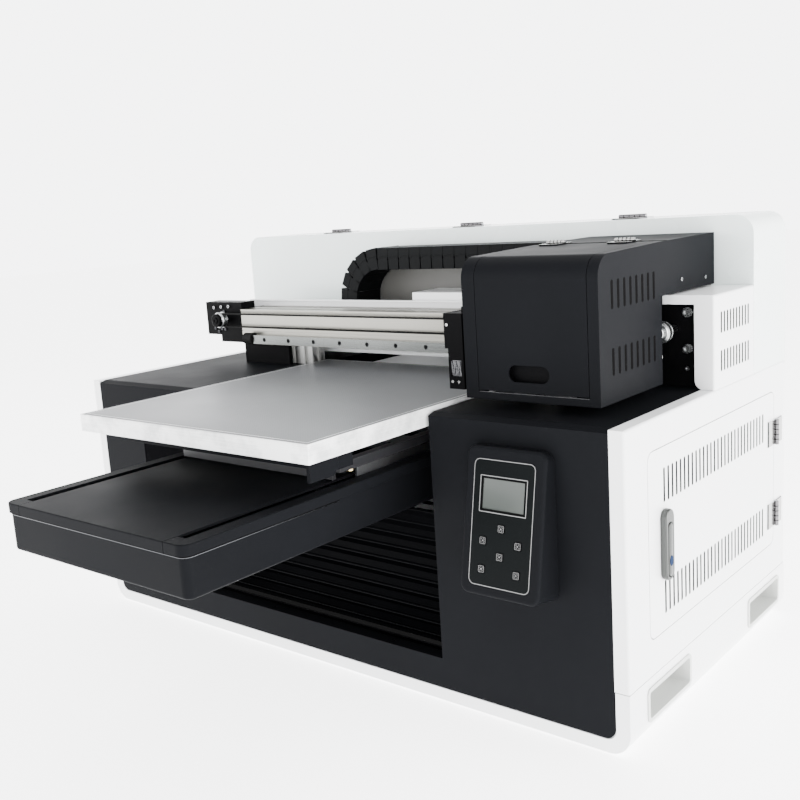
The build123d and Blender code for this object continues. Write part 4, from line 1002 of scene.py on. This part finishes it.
def build_screws():
    x0, x1, y0, y1, z0, z1 = edges_of("y_screw")
    centre = ((x0 + x1) / 2, (z0 + z1) / 2)
    radius = (x1 - x0) / 2
    screw = Form()
    screw.lathe("y", centre, [(y0, 5.0), (y0 + 0.8, 5.8), (y0 + 20, 5.8), (y0 + 20, radius - 0.9),
                              (y1 - 16, radius - 0.9), (y1 - 16, 5.8), (y1, 5.8)], 28)
    helix(screw, centre, "y", y0 + 27, y1 - 23, radius, 20.0, 2, 0.95)
    screw.finish("bed_screw_thread", steel_screw, "bed_screw", "y_screw", stands_for=["y_screw"])
    x0, x1, y0, y1, z0, z1 = edges_of("lift_screw")
    centre = ((x0 + x1) / 2, (y0 + y1) / 2)
    screw = Form()
    screw.lathe("z", centre, [(z0, 10.2), (z0 + 0.8, 11.0), (z0 + 9.5, 11.0), (z0 + 10.4, 10.2),
                              (z0 + 10.4, 5.2), (z1 - 0.8, 5.2), (z1, 4.4)], 28)
    helix(screw, centre, "z", z0 + 13, z1 - 3, 6.0, 10.0, 4, 0.8, hand=-1)
    screw.finish("lift_screw_thread", steel_screw, "table_screw", "lift_screw", stands_for=["lift_screw"])


def build_motors():
    half = 28.0
    cut = 5.0
    outline = [(-half + cut, -half), (half - cut, -half), (half, -half + cut), (half, half - cut),
               (half - cut, half), (-half + cut, half), (-half, half - cut), (-half, -half + cut)]
    for name, cx, cz, m0, m1 in (("carriage_motor", 438.0, 472.0, 276.0, 322.0),
                                 ("bed_motor", bed_x, 283.0, 457.0, 505.0)):
        stack = Form()
        stack.prism("y", [(cx + 0.97 * u, cz + 0.97 * v) for u, v in outline], m0 + 9, m1 - 9)
        stack.finish(name + "_stack", plate_metal, "chassis", "stepper_motors", bevel=0.4,
                     stands_for=["stepper_motors"] if name == "carriage_motor" else ())
        caps = Form()
        for a, b in ((m0, m0 + 9), (m1 - 9, m1)):
            caps.prism("y", [(cx + u, cz + v) for u, v in outline], a, b)
        for u in (-23.5, 23.5):
            for v in (-23.5, 23.5):
                socket_screw(caps, "y", (cx + u * 0.94, cz + v * 0.94), m1, 1, 2.6, 0.9)
        caps.finish(name + "_caps", black, "chassis", "stepper_motors", bevel=0.5)


def build_bottles():
    z0, z1 = edges_of("ink_bottles")[4:]
    bottles, caps, bands = Form(), Form(), Form()
    for index in range(6):
        x, y = -400.0 + index * 75.0, 468.0
        bottles.lathe("z", (x, y), [(z0, 24.0), (z0 + 1.5, 26.4), (z0 + 4, 27.0), (z0 + 80, 27.0),
                                    (z0 + 90, 24.5), (z0 + 96, 18.0), (z0 + 98.5, 13.0),
                                    (z0 + 101, 11.5), (z0 + 104, 11.5)], 40)
        bands.lathe("z", (x, y), [(z0 + 18, 27.0), (z0 + 18, 27.25), (z0 + 62, 27.25), (z0 + 62, 27.0)], 40)
        caps.lathe("z", (x, y), [(z0 + 101.5, 12.6), (z0 + 102, 13.0), (z1 - 1.2, 13.0), (z1, 11.6)])
        for rib in range(24):
            angle = 2 * math.pi * rib / 24
            u, v = x + 12.9 * math.cos(angle), y + 12.9 * math.sin(angle)
            caps.prism("z", circle(u, v, 0.55, 6), z0 + 102.5, z1 - 1.8)
    bottles.finish("bottle_bodies", bottle_plastic, "chassis", "ink_bottles", stands_for=["ink_bottles"])
    caps.finish("bottle_caps", cap_plastic, "chassis", "ink_bottles")
    bands.finish("bottle_bands", white, "chassis", "ink_bottles")


def build_chain_loop_shade():
    """Darker beige-grey sheet on the rear cover's face, seen through the chain's loop: painted shade where
    the chain's upper run shades the wall.
    """
    cover_front = edges_of("end_cover")[3] + 0.5
    shade_sheet = Form()
    # This sheet is painted shade on the wall behind the chain.
    shade_sheet.block(-178.0, 440.0, cover_front - 0.9, cover_front - 0.1, 439.0, 560.0)
    shade_sheet.finish("chain_loop_shade_sheet", loop_shade_paint, "chassis", "rear_cover")
    box = Form()
    box.block(-38.3, 150.3, 314.6, 388.0, 454.7, 514.3)
    box.finish("cable_box", white, "chassis", "rear_cover", bevel=1.2)


def build_lift_bolts():
    bolts = Form()
    for side in (-1, 1):
        x = bed_x + side * 153.0
        for y in (-75.0, 175.0):
            bolts.lathe("z", (x, y), [(345.0, 4.6), (347.5, 4.9), (348.6, 4.2), (348.6, 2.4),
                                      (346.5, 2.2)], 24)
            bolts.lathe("z", (x, y), [(333.0, 5.2), (329.5, 5.2), (329.0, 4.8)], 6)
    bolts.finish("lift_bar_bolts", brass, "bed", "lift_bars", bevel=0.2)


def build_tray_joint_and_highlight():
    """Dark joint round the tray under the rim's lip, and a lighter strip below it: a painted highlight on the
    tray's rounded top edge.
    """
    x0, x1, y0, y1, _, z1 = edges_of("bed_tub")
    radius = 11.0
    back = -120.0
    # The first strip is the dark joint; the second, lighter strip is a painted highlight of the tray's top
    # edge.
    for name, material, grow, low, high in (("tray_joint", void, 0.5, z1 - 1.3, z1 + 0.5),
                                            ("tray_edge_highlight", edge_highlight_metal, 0.7, z1 - 2.0, z1 - 1.3)):
        ring = []
        for offset in (grow, -0.4):
            outline = round_corners(x0 - offset, x1 + offset, y0 - offset, y1, radius + offset, 8)
            front = [point for point in outline if point[1] < back]
            ring.append([(front[0][0], back)] + front + [(front[-1][0], back)])
        strip_form = Form()
        strip_form.prism("z", ring[0] + ring[1][::-1], low, high)
        strip_form.finish(name, material, "chassis", "bed_tub")


def build_grip_lips():
    """Sloping lips that roof the mouth of each grip and close its front end."""
    lips = Form()
    for side in (-1, 1):
        for y0, y1 in ((48.0, 166.0), (369.0, 487.0)):
            roof = ((501.5, 68.5), (501.5, 66.5), (493.5, 55.0), (491.5, 55.0), (491.5, 66.5), (498.0, 66.8))
            lips.prism("y", [(side * x, z) for x, z in roof], y0 + 1.0, y1 - 1.0)
            end = ((501.4, y0 - 1.5), (501.4, y0 + 1.0), (493.0, y0 + 10.0), (491.0, y0 + 10.0),
                   (491.0, y0 + 1.5), (498.0, y0 + 0.5))
            lips.prism("z", [(side * x, y) for x, y in end], 30.5, 66.5)
    lips.finish("grip_lips", grip_plastic, "chassis", "carry_grips", bevel=0.5)


def build_skirt_seams():
    """Thin dark joint between the skirt and the upper housing."""
    joint = Form()
    joint.tube("z", corners(-497.6, 497.6, 2.6, 512.0), corners(-495.5, 495.5, 4.6, 510.0), 78.0, 84.0)
    joint.finish("housing_seam", void, "chassis", "bottom_skirt")


for build in (add_camera, add_studio, paint_nodes, build_chain, build_platen, build_bellows, build_panel,
              build_door_details, build_hinges, build_head_details, build_pulleys, build_bolts,
              build_beam_details, build_screws, build_motors, build_bottles, build_filters,
              build_chain_loop_shade, build_lift_bolts, build_tray_joint_and_highlight, build_grip_lips, build_skirt_seams):
    build()
